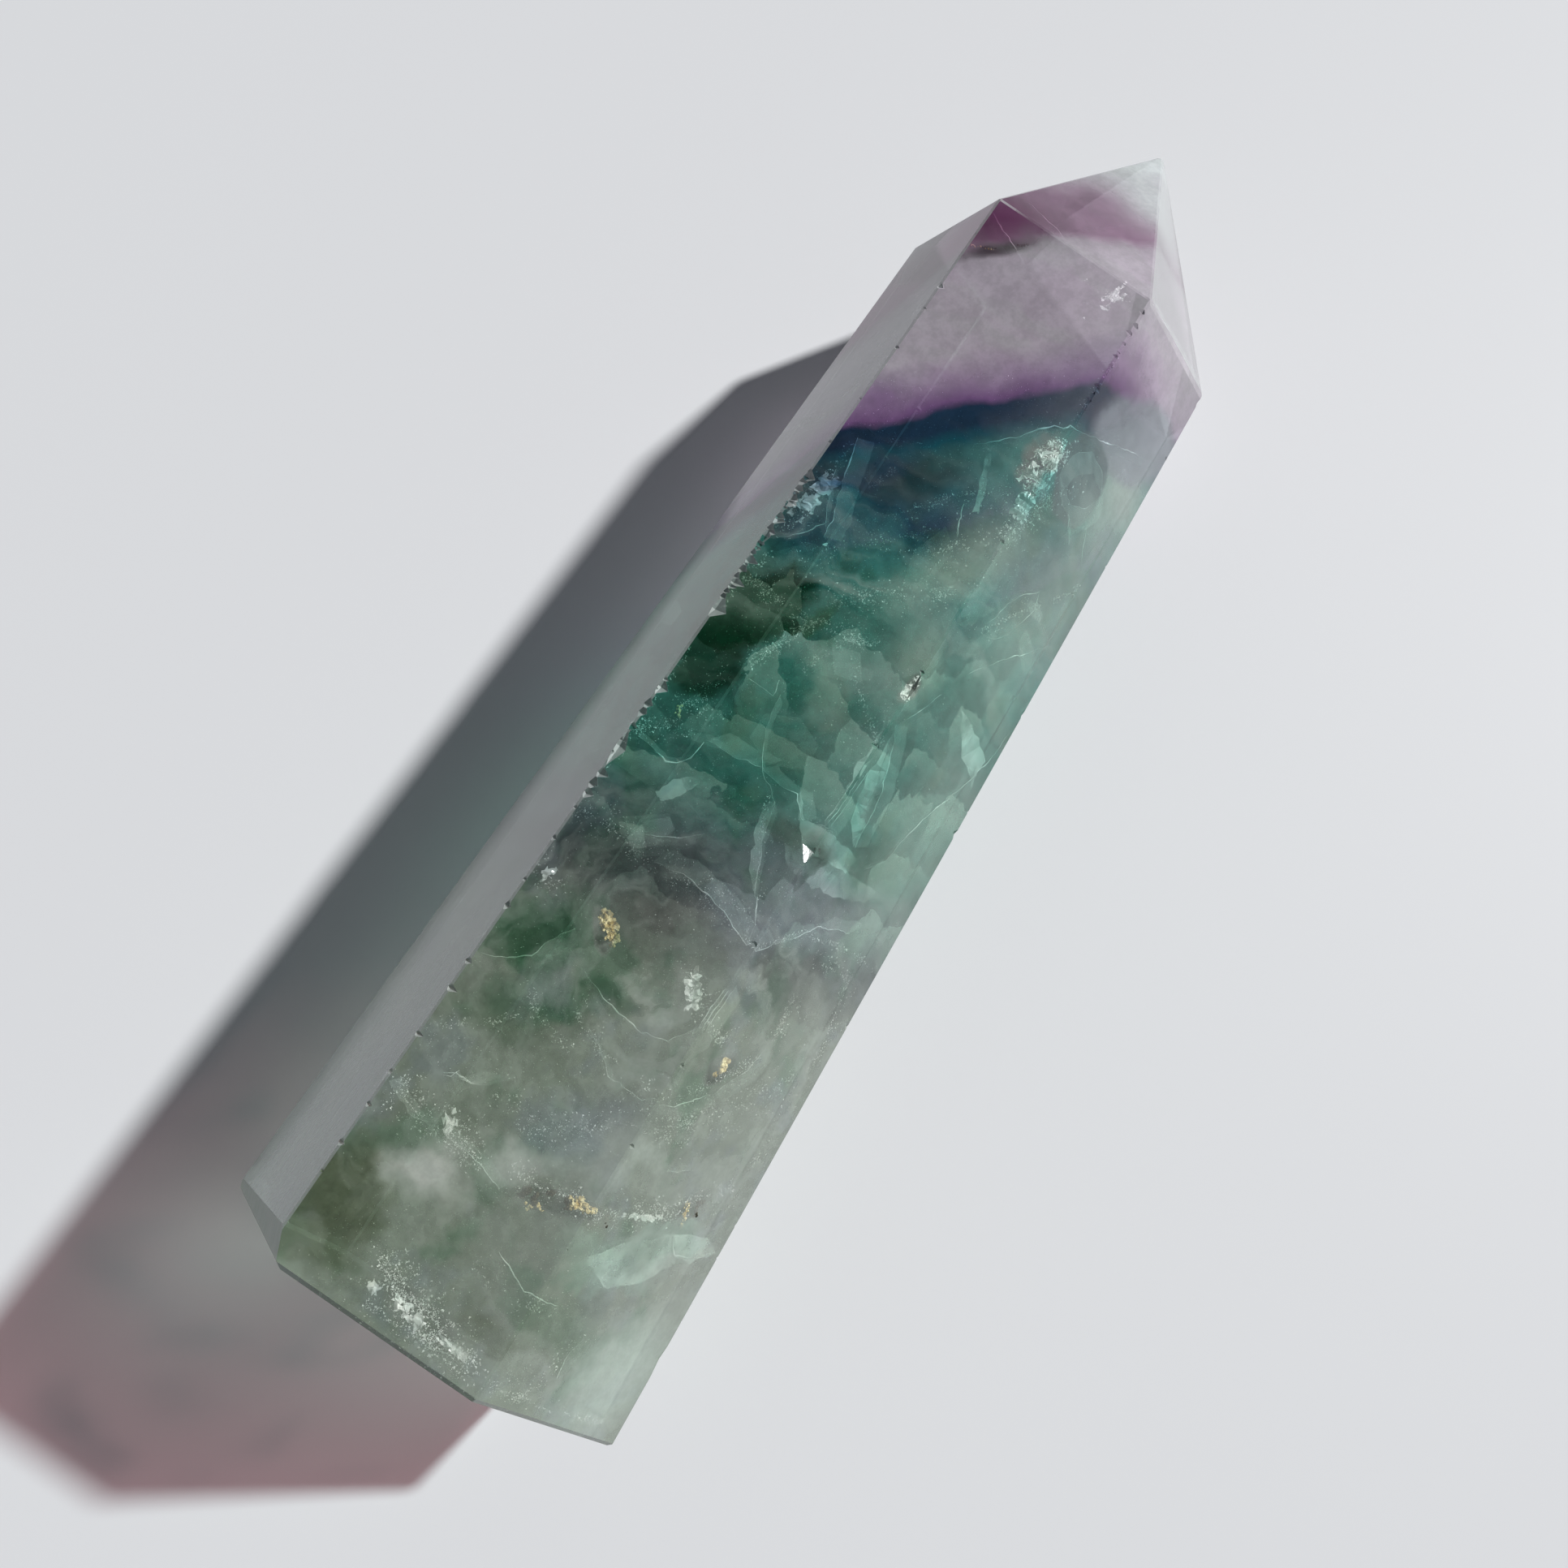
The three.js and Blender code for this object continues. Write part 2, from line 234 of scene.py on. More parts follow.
ZONES: tuple[Zone, ...] = (
    # the tip
    Zone(Tint.MAGENTA, (35.6, 6.2, 21.0), (6.5, 3.0, 8), -45, 0.9, 0.9),
    Zone(Tint.PLUM, (33.4, 4.9, 22.4), (4.4, 0.9, 3), -45, 0.9, 0.9),
    Zone(Tint.ORCHID, (33.0, 10.6, 16.4), (4.4, 4.2, 7), -45, 0.6, 0.9),
    Zone(Tint.CLEAR, (46.8, -2.4, 14.5), (5.5, 6.6, 9), -30, 0.9, 0.9),
    Zone(Tint.DEEP_VIOLET, (18.8, 6.0, 23.2), (3.6, 2.4, 5), -45, 0.6, 0.9),
    Zone(Tint.LILAC, (33.5, -11.5, 13.5), (6.5, 5.0, 9), -45, 0.75, 0.9),
    Zone(Tint.MIST, (25.0, -11.8, 15.0), (6.0, 4.6, 9), -15, 0.8, 0.9),
    Zone(Tint.MAUVE, (28.0, -10.0, 15.6), (7.0, 3.2, 7.4), -45, 0.85, 0.3),
    # under the violet band
    Zone(Tint.DEEP_PETROL, (14.6, 0.6, 23.8), (4.9, 2.5, 6), -30, 0.8, 0.8, Edge.TORN),
    Zone(Tint.SEA, (17.6, -5.1, 23.4), (4.6, 3.2, 6), -30, 0.6, 0.7, Edge.TORN),
    Zone(Tint.SLATE, (22.4, -8.9, 19.5), (3.6, 3.3, 4), -30, 0.8, 0.15),
    Zone(Tint.STEEL, (9.3, 5.9, 24.1), (4.0, 2.2, 6), -15, 0.8, 0.4, Edge.TORN),
    Zone(Tint.MIST, (4.7, 1.0, 24.3), (5.5, 1.8, 5), -60, 0.6, 0.8, Edge.WISPY),
    Zone(Tint.JADE, (10.4, -5.4, 23.6), (9.0, 3.2, 6), -30, 0.75, 0.9),
    Zone(Tint.PETROL, (8.2, 4.1, 24.2), (5.4, 3.0, 6), -30, 0.85, 0.8),
    Zone(Tint.INK, (12.8, 3.3, 24.0), (5.6, 2.2, 6), -30, 0.85, 0.7, Edge.TORN),
    Zone(Tint.JADE, (13.6, -6.4, 22.0), (6.5, 3.6, 6), -30, 0.6, 0.9),
    Zone(Tint.JADE, (3.8, -6.4, 24.0), (4.5, 2.8, 6), 0, 0.75, 0.9),
    # green patches on the left edge
    Zone(Tint.EMERALD, (1.2, 5.3, 24.7), (4.8, 3.3, 8), -30, 1.0, 0.3, Edge.TORN),
    Zone(Tint.EMERALD, (-4.2, 5.8, 25.0), (3.6, 2.2, 8), -15, 0.8, 0.4, Edge.TORN),
    Zone(Tint.FERN, (2.5, 1.3, 24.5), (2.2, 0.8, 3), -45, 0.8, 0.7, Edge.TORN),
    # the middle
    Zone(Tint.MIST, (0.5, -1.8, 24.5), (6.5, 2.3, 6), -75, 0.4, 0.8, Edge.TORN),
    Zone(Tint.JADE, (-1.6, -2.4, 24.6), (3.4, 2.2, 5), 15, 0.6, 0.8, Edge.TORN),
    Zone(Tint.TEAL, (-4.8, -6.9, 24.2), (3.0, 1.6, 5), -60, 0.7, 0.8, Edge.TORN),
    Zone(Tint.EMERALD, (-6.5, -2.1, 24.9), (3.4, 2.4, 6), 60, 0.5, 0.8, Edge.TORN),
    Zone(Tint.EMERALD, (-11.9, -6.7, 25.2), (2.4, 1.4, 5), 75, 0.6, 0.7, Edge.TORN),
    Zone(Tint.SLATE, (-12.3, 2.6, 25.4), (4.5, 3.0, 8), -90, 0.45, 0.7, Edge.TORN),
    Zone(Tint.SMOKE, (-17.5, 1.5, 25.6), (5.5, 3.6, 9), -60, 0.8, 0.7, Edge.TORN),
    Zone(Tint.MAUVE, (-15.2, -9.0, 22.2), (11.7, 3.4, 9), -60, 0.7, 0.7, Edge.TORN),
    Zone(Tint.UMBER, (-20.1, -1.9, 25.8), (3.4, 2.2, 4), -60, 0.7, 0.8, Edge.TORN),
    Zone(Tint.FERN, (-24.6, 4.7, 26.3), (4.5, 3.1, 8), -45, 0.85, 0.6, Edge.TORN),
    Zone(Tint.FERN, (-25.8, -1.1, 26.2), (2.6, 1.6, 4), 60, 0.7, 0.7, Edge.TORN),
    Zone(Tint.MILK, (-25.1, -3.9, 26.0), (3.0, 2.4, 4), 75, 0.7, 0.9, Edge.WISPY),
    # the lower half
    Zone(Tint.MILK, (-37.4, -2.8, 26.8), (3.6, 2.6, 5), -60, 0.7, 0.9, Edge.TORN),
    Zone(Tint.FERN, (-28.2, 1.6, 26.3), (4.6, 2.4, 6), -60, 0.65, 0.9, Edge.TORN),
    Zone(Tint.MAUVE, (-33.5, -4.6, 26.2), (6.5, 2.6, 6), -60, 0.5, 0.9, Edge.TORN),
    Zone(Tint.MOSS, (-31.2, 3.4, 26.6), (5.4, 2.3, 8), -75, 0.6, 0.8, Edge.TORN),
    Zone(Tint.MIST, (-28.3, -6.6, 26.2), (7.4, 2.2, 6), -45, 0.5, 0.9, Edge.WISPY),
    Zone(Tint.MIST, (-19.5, -9.1, 22.8), (5.5, 3.2, 6), -15, 0.6, 0.9, Edge.WISPY),
    Zone(Tint.OLIVE, (-44.5, 6.4, 27.5), (5.2, 4.0, 9), -30, 0.9, 0.7, Edge.TORN),
    Zone(Tint.OLIVE, (-46.8, 4.6, 27.6), (4.2, 3.2, 9), -15, 0.8, 0.6, Edge.TORN),
    Zone(Tint.MILK, (-41.5, 1.8, 27.2), (4.0, 3.6, 4), -60, 0.85, 0.9, Edge.TORN),
    Zone(Tint.MIST, (-34.5, -7.5, 25.9), (9.5, 2.3, 6), -60, 0.6, 0.8, Edge.TORN),
    Zone(Tint.JADE, (-39.9, -10.8, 20.6), (6.9, 2.6, 9), -60, 0.6, 0.5, Edge.TORN),
    Zone(Tint.MOSS, (-45.2, -9.4, 23.4), (6.2, 2.6, 6), 60, 0.7, 0.7, Edge.TORN),
    Zone(Tint.MINT, (-47.5, -13.4, 16.5), (6.8, 5.0, 9), -15, 0.7, 0.8),
    Zone(Tint.OLIVE, (-47.4, -6.0, 26.6), (3.6, 2.0, 5), 75, 0.6, 0.8, Edge.TORN),
    # painted sunlight: pale jade down the sunlit right side
    Zone(Tint.JADE, (15.0, -11.8, 16.4), (17.0, 5.6, 11), -15, 0.7, 0.8),
    Zone(Tint.JADE, (-7.0, -12.8, 15.4), (14.0, 4.8, 10), 0, 0.5, 0.8),
    # clear stone over breaks and stains
    Zone(Tint.WINDOW, (20.6, -6.4, 22.0), (2.8, 1.2, 3), 0, 0.9, 0.7, Edge.TORN),
    Zone(Tint.WINDOW, (1.6, -6.8, 24.0), (1.5, 0.6, 2), 0, 0.9, 0.5),
    Zone(Tint.WINDOW, (-22.8, 1.2, 26.0), (1.9, 0.8, 2), 45, 0.95, 0.4),
    Zone(Tint.WINDOW, (-23.2, -5.6, 25.6), (1.9, 1.2, 2), 30, 0.5, 0.5, Edge.TORN),
    Zone(Tint.WINDOW, (-26.3, -9.6, 22.8), (1.6, 0.9, 2), -15, 0.95, 0.4),
    Zone(Tint.WINDOW, (-38.7, -6.0, 26.6), (4.0, 1.1, 2), -75, 0.95, 0.5),
    Zone(Tint.WINDOW, (-35.6, -12.4, 17.9), (2.0, 0.8, 3), -15, 0.95, 0.5),
    Zone(Tint.WINDOW, (-49.0, -2.2, 27.4), (4.8, 1.2, 2), 75, 0.8, 0.6, Edge.TORN),
)


# Colour of the stone along its length: place along +X, tint, and how veiled and how split into
# cleavage blocks it is there.
ALONG: tuple[tuple[float, Tint, float, float], ...] = (
    (-52, Tint.SAGE, 0.4, 0.1),
    (-42, Tint.SAGE, 0.4, 0.1),
    (-33, Tint.SAGE, 0.55, 0.1),
    (-24, Tint.SAGE, 0.55, 0.25),
    (-19, Tint.SMOKE, 0.5, 0.4),
    (-15, Tint.SLATE, 0.4, 0.8),
    (-11, Tint.TEAL, 0.2, 1.0),
    (2, Tint.TEAL, 0.25, 0.9),
    (8, Tint.SEA, 0.5, 0.3),
    (12, Tint.PETROL, 0.2, 0.1),
    (22, Tint.SEA, 0.3, 0.1),
    (53, Tint.SEA, 0.3, 0.0),
)

# Direction along which those places are measured.
ALONG_AXIS = (1.0, 0.2, 0.0)

# Growth zones near the tip, along their common normal: the cube face that the crystal grew on.
GROWTH_NORMAL = (0.719, 0.683, -0.128)
# Where the growth zones take over from the colours along the stone.
TIP_RISE_MM = (8.0, 10.2)
GROWTH: tuple[tuple[float, Tint, float, float], ...] = (
    (8.0, Tint.SEA, 0.2, 0.1),
    (10.2, Tint.PETROL, 0.1, 0.0),
    (11.0, Tint.INK, 0.1, 0.0),
    (12.3, Tint.INK, 0.0, 0.0),
    (12.9, Tint.DEEP_VIOLET, 0.0, 0.0),
    (14.2, Tint.VIOLET, 0.1, 0.0),
    (16.6, Tint.LILAC, 0.4, 0.0),
    (22.8, Tint.LILAC, 0.3, 0.0),
    (24.3, Tint.ROSE, 0.3, 0.0),
    (25.4, Tint.ORCHID, 0.1, 0.0),
    (29.8, Tint.ORCHID, 0.1, 0.0),
    (32.6, Tint.ROSE, 0.2, 0.0),
    (35.0, Tint.CLEAR, 0.2, 0.0),
)


@dataclass(frozen=True)
class Ground:
    """A ground face of the stone, and the haze its last polish left, with painted light on the top and the
    long left face.

    Attributes:
        normal: outward normal of the face.
        haze_and_painted_light: haze, and on the top and the long left face painted light, at the start and
            at the end of the run, from 0 to 1.
        run: direction along which the haze changes.
        ends: where the change starts and ends along it.
    """

    normal: Point
    haze_and_painted_light: Pair
    run: Point = (1.0, 0.0, 0.0)
    ends: Pair = (-50.0, 50.0)


FACES: tuple[Ground, ...] = (
    # Top face: clear, and painted lighter towards its ridge with the sunlit right face.
    Ground((0.062, -0.024, 0.998), (0.0, 0.25), (0.0, -1.0, 0.0), (0.5, 8.0)),
    Ground((0.043, -0.87, 0.491), (0.0, 0.3), (0.0, -1.0, 0.0), (6.0, 15.0)),
    Ground((0.017, -0.842, -0.539), (0.2, 0.2)),
    Ground((0.0, 0.0, -1.0), (0.1, 0.1)),
    Ground((0.017, 0.874, -0.485), (0.2, 0.2)),
    # Long left face: satin haze and painted reflection, lightest at the foot and darker towards the tip.
    Ground((0.044, 0.864, 0.502), (0.9, 0.12), (1.0, 0.0, 0.0), (-50.0, 34.0)),
    Ground((0.555, -0.073, 0.829), (0.0, 0.0)),
    Ground((0.549, -0.705, 0.449), (0.55, 0.55)),
    Ground((0.516, -0.704, -0.488), (0.2, 0.2)),
    Ground((0.511, 0.0, -0.86), (0.1, 0.1)),
    Ground((0.516, 0.745, -0.424), (0.2, 0.2)),
    Ground((0.559, 0.736, 0.382), (0.1, 0.1)),
    Ground((-0.997, 0.0, 0.082), (0.35, 0.35)),
)
# Haze of chips and edges on the right and at the long left edge, and the two places along +Y
# between which it goes from one to the other.
CHIP_HAZE = (0.15, 0.7)
CHIP_RISE_MM = (3.5, 6.5)
CHIP_ROUGHNESS = 0.4
# Share of the stone's clearness that a chip keeps.
CHIP_CLEAR = 0.75
# Colour and clearness of hazed faces, which also paint light on the top and the long left face.
HAZE_AND_PAINTED_LIGHT_COLOUR = "e2e6e6"
HAZE_AND_PAINTED_LIGHT_CLEAR = 0.6

# Middle of the great swirl of veils in the lower half.
SWIRL = (-24.0, -3.0, 22.0)


@dataclass
class PatternPart:
    """Part of the stone's pattern, made of shader nodes by the steps that all parts share.

    Attributes:
        tree: node tree that takes the nodes.
    """

    tree: bpy.types.NodeTree

    def _maths(self, operation: str, first: Value, second: Value = 0.0, clamp: bool = True) -> Socket:
        """Joins two numbers by one operation, kept between 0 and 1 unless clamp is off."""
        settings = {"operation": operation, "use_clamp": clamp}
        return add_node(self.tree, "Math", settings, {0: first, 1: second}).outputs[0]

    def _mix(self, share: Socket, first: Value, second: Value) -> Socket:
        """Goes from the first number to the second by a share."""
        return add_node(self.tree, "Mix", {}, {0: share, 2: first, 3: second}).outputs[0]

    def _blend(self, share: Socket, first: object, second: object) -> Socket:
        """Goes from the first colour or place to the second by a share."""
        return blend(self.tree, share, first, second)

    def _vector(
        self, operation: str, first: object, second: object = (0.0, 0.0, 0.0), output: int = 0
    ) -> Socket:
        """Joins two vectors by one operation; output 1 gives the number that comes of it."""
        inputs = {0: first, 1: second}
        return add_node(self.tree, "VectorMath", {"operation": operation}, inputs).outputs[output]

    def _scaled(self, vector: Socket, factor: Value) -> Socket:
        """Multiplies a vector or colour by a number."""
        settings = {"operation": "SCALE"}
        return add_node(self.tree, "VectorMath", settings, {0: vector, "Scale": factor}).outputs[0]

    def _ranged(
        self, value: Socket, low: float, high: float, start: float = 0.0, end: float = 1.0
    ) -> Socket:
        """Turns a value between two limits to a smooth step between two others."""
        inputs = {"Value": value, 1: low, 2: high, 3: start, 4: end}
        settings = {"interpolation_type": "SMOOTHSTEP"}
        return add_node(self.tree, "MapRange", settings, inputs).outputs[0]

    def _along(self, place: Socket, direction: Point) -> Socket:
        """Distance of a place along a direction."""
        return self._vector("DOT_PRODUCT", place, direction, output=1)

    def _cloud(self, place: Socket, scale_mm: float, detail: float, rough: float) -> bpy.types.Node:
        """Adds fractal noise whose largest lumps have a size in millimetres."""
        inputs = {"Vector": place, "Scale": 1 / scale_mm, "Detail": detail, "Roughness": rough}
        return add_node(self.tree, "TexNoise", {}, inputs)

    def _framed(self, place: Socket, turned: dict[str, Point], way: str) -> Socket:
        """Takes a place to a turned and scaled frame ("TEXTURE"), or back out of it ("POINT")."""
        inputs = {"Vector": place, **turned}
        return add_node(self.tree, "Mapping", {"vector_type": way}, inputs).outputs[0]


@dataclass
class Background(PatternPart):
    """Colour of the whole stone before its separate zones.

    Attributes:
        patch_noise: noise at which a green or a mauve drift starts and is full.
        patch_share: most that a green or a mauve drift tints the stone.
        patch_ends_mm: along +X, where the mauve drifts start to fade and have gone.
    """

    patch_noise: Pair = (0.5, 0.64)
    patch_share: Pair = (0.45, 0.4)
    patch_ends_mm: Pair = (-18.0, -8.0)

    def build(self, gentle: Socket, torn: Socket, cloud: Socket) -> tuple[Socket, Socket]:
        """Colours the whole stone before its separate zones.

        Args:
            gentle: place that wanders gently, for the growth zones.
            torn: place that wanders raggedly, for the rest.
            cloud: noise that places green and mauve drifts behind the tip.

        Returns:
            Colour, and the three traits as one colour.
        """
        along, along_traits = self._ramp(self._along(torn, ALONG_AXIS), ALONG)
        parts = add_node(self.tree, "SeparateColor", {}, {0: cloud}).outputs
        green, mauve = self.patch_share
        ferny = self._ranged(parts[0], *self.patch_noise, 0.0, green)
        along = self._blend(ferny, along, Tint.FERN.colour)
        lower = self._ranged(self._along(torn, X_AXIS), *self.patch_ends_mm, mauve, 0.0)
        rosy = self._maths("MULTIPLY", self._ranged(parts[1], *self.patch_noise), lower)
        along = self._blend(rosy, along, Tint.MAUVE.colour)
        growth = self._along(gentle, GROWTH_NORMAL)
        banded, banded_traits = self._ramp(growth, GROWTH)
        near_tip = self._ranged(growth, *TIP_RISE_MM)
        return (
            self._blend(near_tip, along, banded), self._blend(near_tip, along_traits, banded_traits)
        )

    def _ramp(
        self, value: Socket, stops: tuple[tuple[float, Tint, float, float], ...]
    ) -> tuple[Socket, Socket]:
        """Runs through coloured stops along a length.

        Args:
            value: length in millimetres.
            stops: length, tint and two traits of each stop.

        Returns:
            Colour, and clearness and the two traits as one colour.
        """
        low, high = stops[0][0], stops[-1][0]
        share = add_node(self.tree, "MapRange", {}, {0: value, 1: low, 2: high}).outputs[0]
        outputs = []
        for pick in (lambda stop: stop[1].colour, lambda stop: (stop[1].clear, stop[2], stop[3], 1.0)):
            ramp = add_node(self.tree, "ValToRGB", {}, {0: share})
            elements = ramp.color_ramp.elements
            elements[0].color = pick(stops[0])
            elements[1].color = pick(stops[-1])
            for stop in stops[1:-1]:
                elements.new((stop[0] - low) / (high - low)).color = pick(stop)
            outputs.append(ramp.outputs[0])
        return outputs[0], outputs[1]


@dataclass
class CleavageBlocks(PatternPart):
    """Blocks that the cleavage splits the stone into, each painted lighter towards one side as a painted
    sunlit sheen.

    Attributes:
        size_mm: size of a block along its three axes.
        turn: turn of the blocks about X, Y and Z, in radians.
        fray_scale_mm: size of the fraying along their edges.
        fray_noise: detail and roughness of the fraying.
        fray_mm: how far it reaches.
        side: side of a block that gets the painted sunlit glow.
        rise: where the painted glow starts and ends along it, in blocks.
        evens: least and most that a block is painted as evenly lit instead.
        even: its painted shade then.
        shades: what its painted shade makes of the colour, darkest and lightest.
        painted_glow: painted shades between which painted jade green light appears in it.
        painted_glow_share: most of that painted light.
    """

    size_mm: Point = (3.4, 6.5, 4.5)
    turn: Point = (0.5, -0.3, -0.6)
    fray_scale_mm: float = 0.9
    fray_noise: Pair = (1.0, 0.6)
    fray_mm: float = 0.35
    side: Point = (0.45, 0.8, 0.1)
    rise: Pair = (-0.5, 0.55)
    evens: Pair = (0.1, 0.6)
    even: float = 0.4
    shades: Pair = (0.72, 1.2)
    painted_glow: Pair = (0.45, 1.0)
    painted_glow_share: float = 0.5

    def build(self, place: Socket) -> tuple[Socket, Socket]:
        """Splits the stone into cleavage blocks.

        Args:
            place: place in millimetres.

        Returns:
            The middle of the block that the place lies in, and its painted light there: each
            block is painted lighter towards one side, as a painted sheen of cleavage faces that catch the
            sun.
        """
        frame_of_blocks = {"Rotation": self.turn, "Scale": self.size_mm}
        local = self._framed(self._frayed(place), frame_of_blocks, "TEXTURE")
        cells = add_node(self.tree, "TexVoronoi", {}, {"Vector": local, "Scale": 1.0})
        centre = self._framed(cells.outputs["Position"], frame_of_blocks, "POINT")
        number = add_node(self.tree, "SeparateColor", {}, {0: cells.outputs["Color"]}).outputs[0]
        offset = self._vector("SUBTRACT", local, cells.outputs["Position"])
        # Painted light: each block is painted lighter towards its sunlit side.
        side = self._ranged(self._along(offset, self.side), *self.rise)
        even = self._ranged(number, 0.0, 1.0, *self.evens)
        return centre, self._mix(even, side, self.even)

    def light(
        self, cleaved: Socket, painted_block_light: Socket, colour: Socket, clear: Socket
    ) -> tuple[Socket, Socket]:
        """Paints light and shade on the blocks.

        Args:
            cleaved: how far the stone is split into blocks.
            painted_block_light: painted light and shade of the block there.
            colour: the even colour.
            clear: the even clearness.

        Returns:
            The colour and the clearness of the blocks with their painted light.
        """
        painted_block_shade = self._scaled(colour, self._ranged(painted_block_light, 0.0, 1.0, *self.shades))
        colour = self._blend(cleaved, colour, painted_block_shade)
        # Painted highlight: jade green light on the sunlit side of each block.
        painted_sunlit = self._ranged(painted_block_light, *self.painted_glow, 0.0, self.painted_glow_share)
        painted_glow = self._maths("MULTIPLY", cleaved, painted_sunlit)
        colour = self._blend(painted_glow, colour, Tint.JADE.colour)
        return colour, self._mix(painted_glow, clear, Tint.JADE.clear)

    def _frayed(self, place: Socket) -> Socket:
        """Shakes a place by fine noise, which frays the edges of what is cut from it."""
        cloud = self._cloud(place, self.fray_scale_mm, *self.fray_noise).outputs["Color"]
        return self._vector("ADD", place, self._scaled(cloud, 2 * self.fray_mm))


@dataclass
class FoldedVeils(PatternPart):
    """Broad soft veils of tiny inclusions, folded round the great swirl.

    Attributes:
        fold_mm: width of a fold.
        length_mm: its length along the swirl.
        slant: way through the noise from one fold to the next one out.
        fold_noise: detail and roughness of the folds.
        swirl_mm: radius past which the folds grow longer.
        broad: noise at which a broad veil starts and is fullest.
        thin: noise at which a thin veil starts, is fullest and ends.
        strengths: strength of a thin and of a broad veil.
    """

    fold_mm: float = 1.7
    length_mm: float = 6.5
    slant: Point = (0.4, 0.4, 0.82)
    fold_noise: Pair = (4.0, 0.55)
    swirl_mm: float = 16.0
    broad: Pair = (0.36, 0.72)
    thin: Point = (0.46, 0.5, 0.55)
    strengths: Pair = (0.4, 0.85)

    def build(self, place: Socket) -> Socket:
        """Masks the veils.

        Args:
            place: place in millimetres, already ragged.

        Returns:
            The veils' strength, from 0 to 1.
        """
        out = self._vector("SUBTRACT", place, SWIRL)
        reach = self._vector("LENGTH", out, output=1)
        heading = self._vector("NORMALIZE", out)
        near = self._maths("MINIMUM", reach, self.swirl_mm, clamp=False)
        round_it = self._maths("MULTIPLY", near, 1 / self.length_mm, clamp=False)
        outward = self._maths("MULTIPLY", reach, 1 / self.fold_mm, clamp=False)
        turned = self._scaled(heading, round_it)
        spread = self._scaled(self.slant, outward)
        local = self._vector("ADD", turned, spread)
        folds = self._cloud(local, 1.0, *self.fold_noise).outputs[0]
        broad = self._ranged(folds, *self.broad)
        start, full, end = self.thin
        above = self._ranged(folds, start, full)
        below = self._ranged(folds, end, full)
        thin_share, broad_share = self.strengths
        thin = self._maths("MULTIPLY", self._maths("MULTIPLY", above, below), thin_share)
        return self._maths("MAXIMUM", thin, self._maths("MULTIPLY", broad, broad_share))


@dataclass
class Mottling(PatternPart):
    """Uneven patches all through the stone.

    Attributes:
        scale_mm: size of the largest patches.
        mottle_noise: their detail and roughness.
        shades: what they make of the colour, darkest and lightest.
        clears: what they make of the clearness in the same places.
    """

    scale_mm: float = 1.3
    mottle_noise: Pair = (3.0, 0.75)
    shades: Pair = (0.93, 1.07)
    clears: Pair = (1.03, 0.97)

    def build(self, place: Socket, colour: Socket, clear: Socket) -> tuple[Socket, Socket]:
        """Makes colour and clearness uneven.

        Args:
            place: place in millimetres.
            colour: the even colour.
            clear: the even clearness.

        Returns:
            The uneven colour and clearness.
        """
        patches = self._cloud(place, self.scale_mm, *self.mottle_noise).outputs[0]
        shades = self._ranged(patches, *NOISE_SPAN, *self.shades)
        uneven = self._scaled(colour, shades)
        clears = self._ranged(patches, *NOISE_SPAN, *self.clears)
        return uneven, self._maths("MULTIPLY", clear, clears)


@dataclass
class GroundSurface(PatternPart):
    """What the grinding and the polishing left on the stone's faces, and the painted light on two of them.

    Attributes:
        streak_mm: length and width of the streaks that the grinding left.
        streak_noise: detail and roughness of the streaks.
        streak_shades: what they make of the haze.
        face_cosines: cosines to a face's normal that count as chip and as face.
    """

    streak_mm: Point = (16.0, 0.55, 0.55)
    streak_noise: Pair = (2.0, 0.6)
    streak_shades: Pair = (0.88, 1.1)
    face_cosines: Pair = (0.965, 0.985)

    def streaks(self, place: Socket) -> Socket:
        """Long faint streaks that the grinding wheel left along the stone."""
        local = self._framed(place, {"Scale": self.streak_mm}, "TEXTURE")
        return self._cloud(local, 1.0, *self.streak_noise).outputs[0]

    def haze_and_painted_light(self, place: Socket, streaks: Socket) -> tuple[Socket, Socket]:
        """Haze of each ground face and painted light on two of them, streaked by the grinding; chips at
        the left edge are rough.

        Args:
            place: place in millimetres.
            streaks: the grinding streaks.

        Returns:
            The haze, and how far the place is smooth and no rough chip, both from 0 to 1.
        """
        normal = add_node(self.tree, "TexCoord").outputs["Normal"]
        across = self._along(place, Y_AXIS)
        haze_and_painted_light: Value = self._ranged(across, *CHIP_RISE_MM, *CHIP_HAZE)
        flat: Value = 0.0
        for face in FACES:
            on_face = self._ranged(self._along(normal, face.normal), *self.face_cosines)
            flat = self._maths("ADD", flat, on_face)
            amount: Value = face.haze_and_painted_light[0]
            if face.haze_and_painted_light[0] != face.haze_and_painted_light[1]:
                amount = self._ranged(self._along(place, face.run), *face.ends, *face.haze_and_painted_light)
            haze_and_painted_light = self._mix(on_face, haze_and_painted_light, amount)
        worn = self._ranged(across, *CHIP_RISE_MM, 1.0, 0.0)
        flat = self._maths("MAXIMUM", flat, worn)
        shades = self._ranged(streaks, *NOISE_SPAN, *self.streak_shades)
        return self._maths("MULTIPLY", haze_and_painted_light, shades), flat


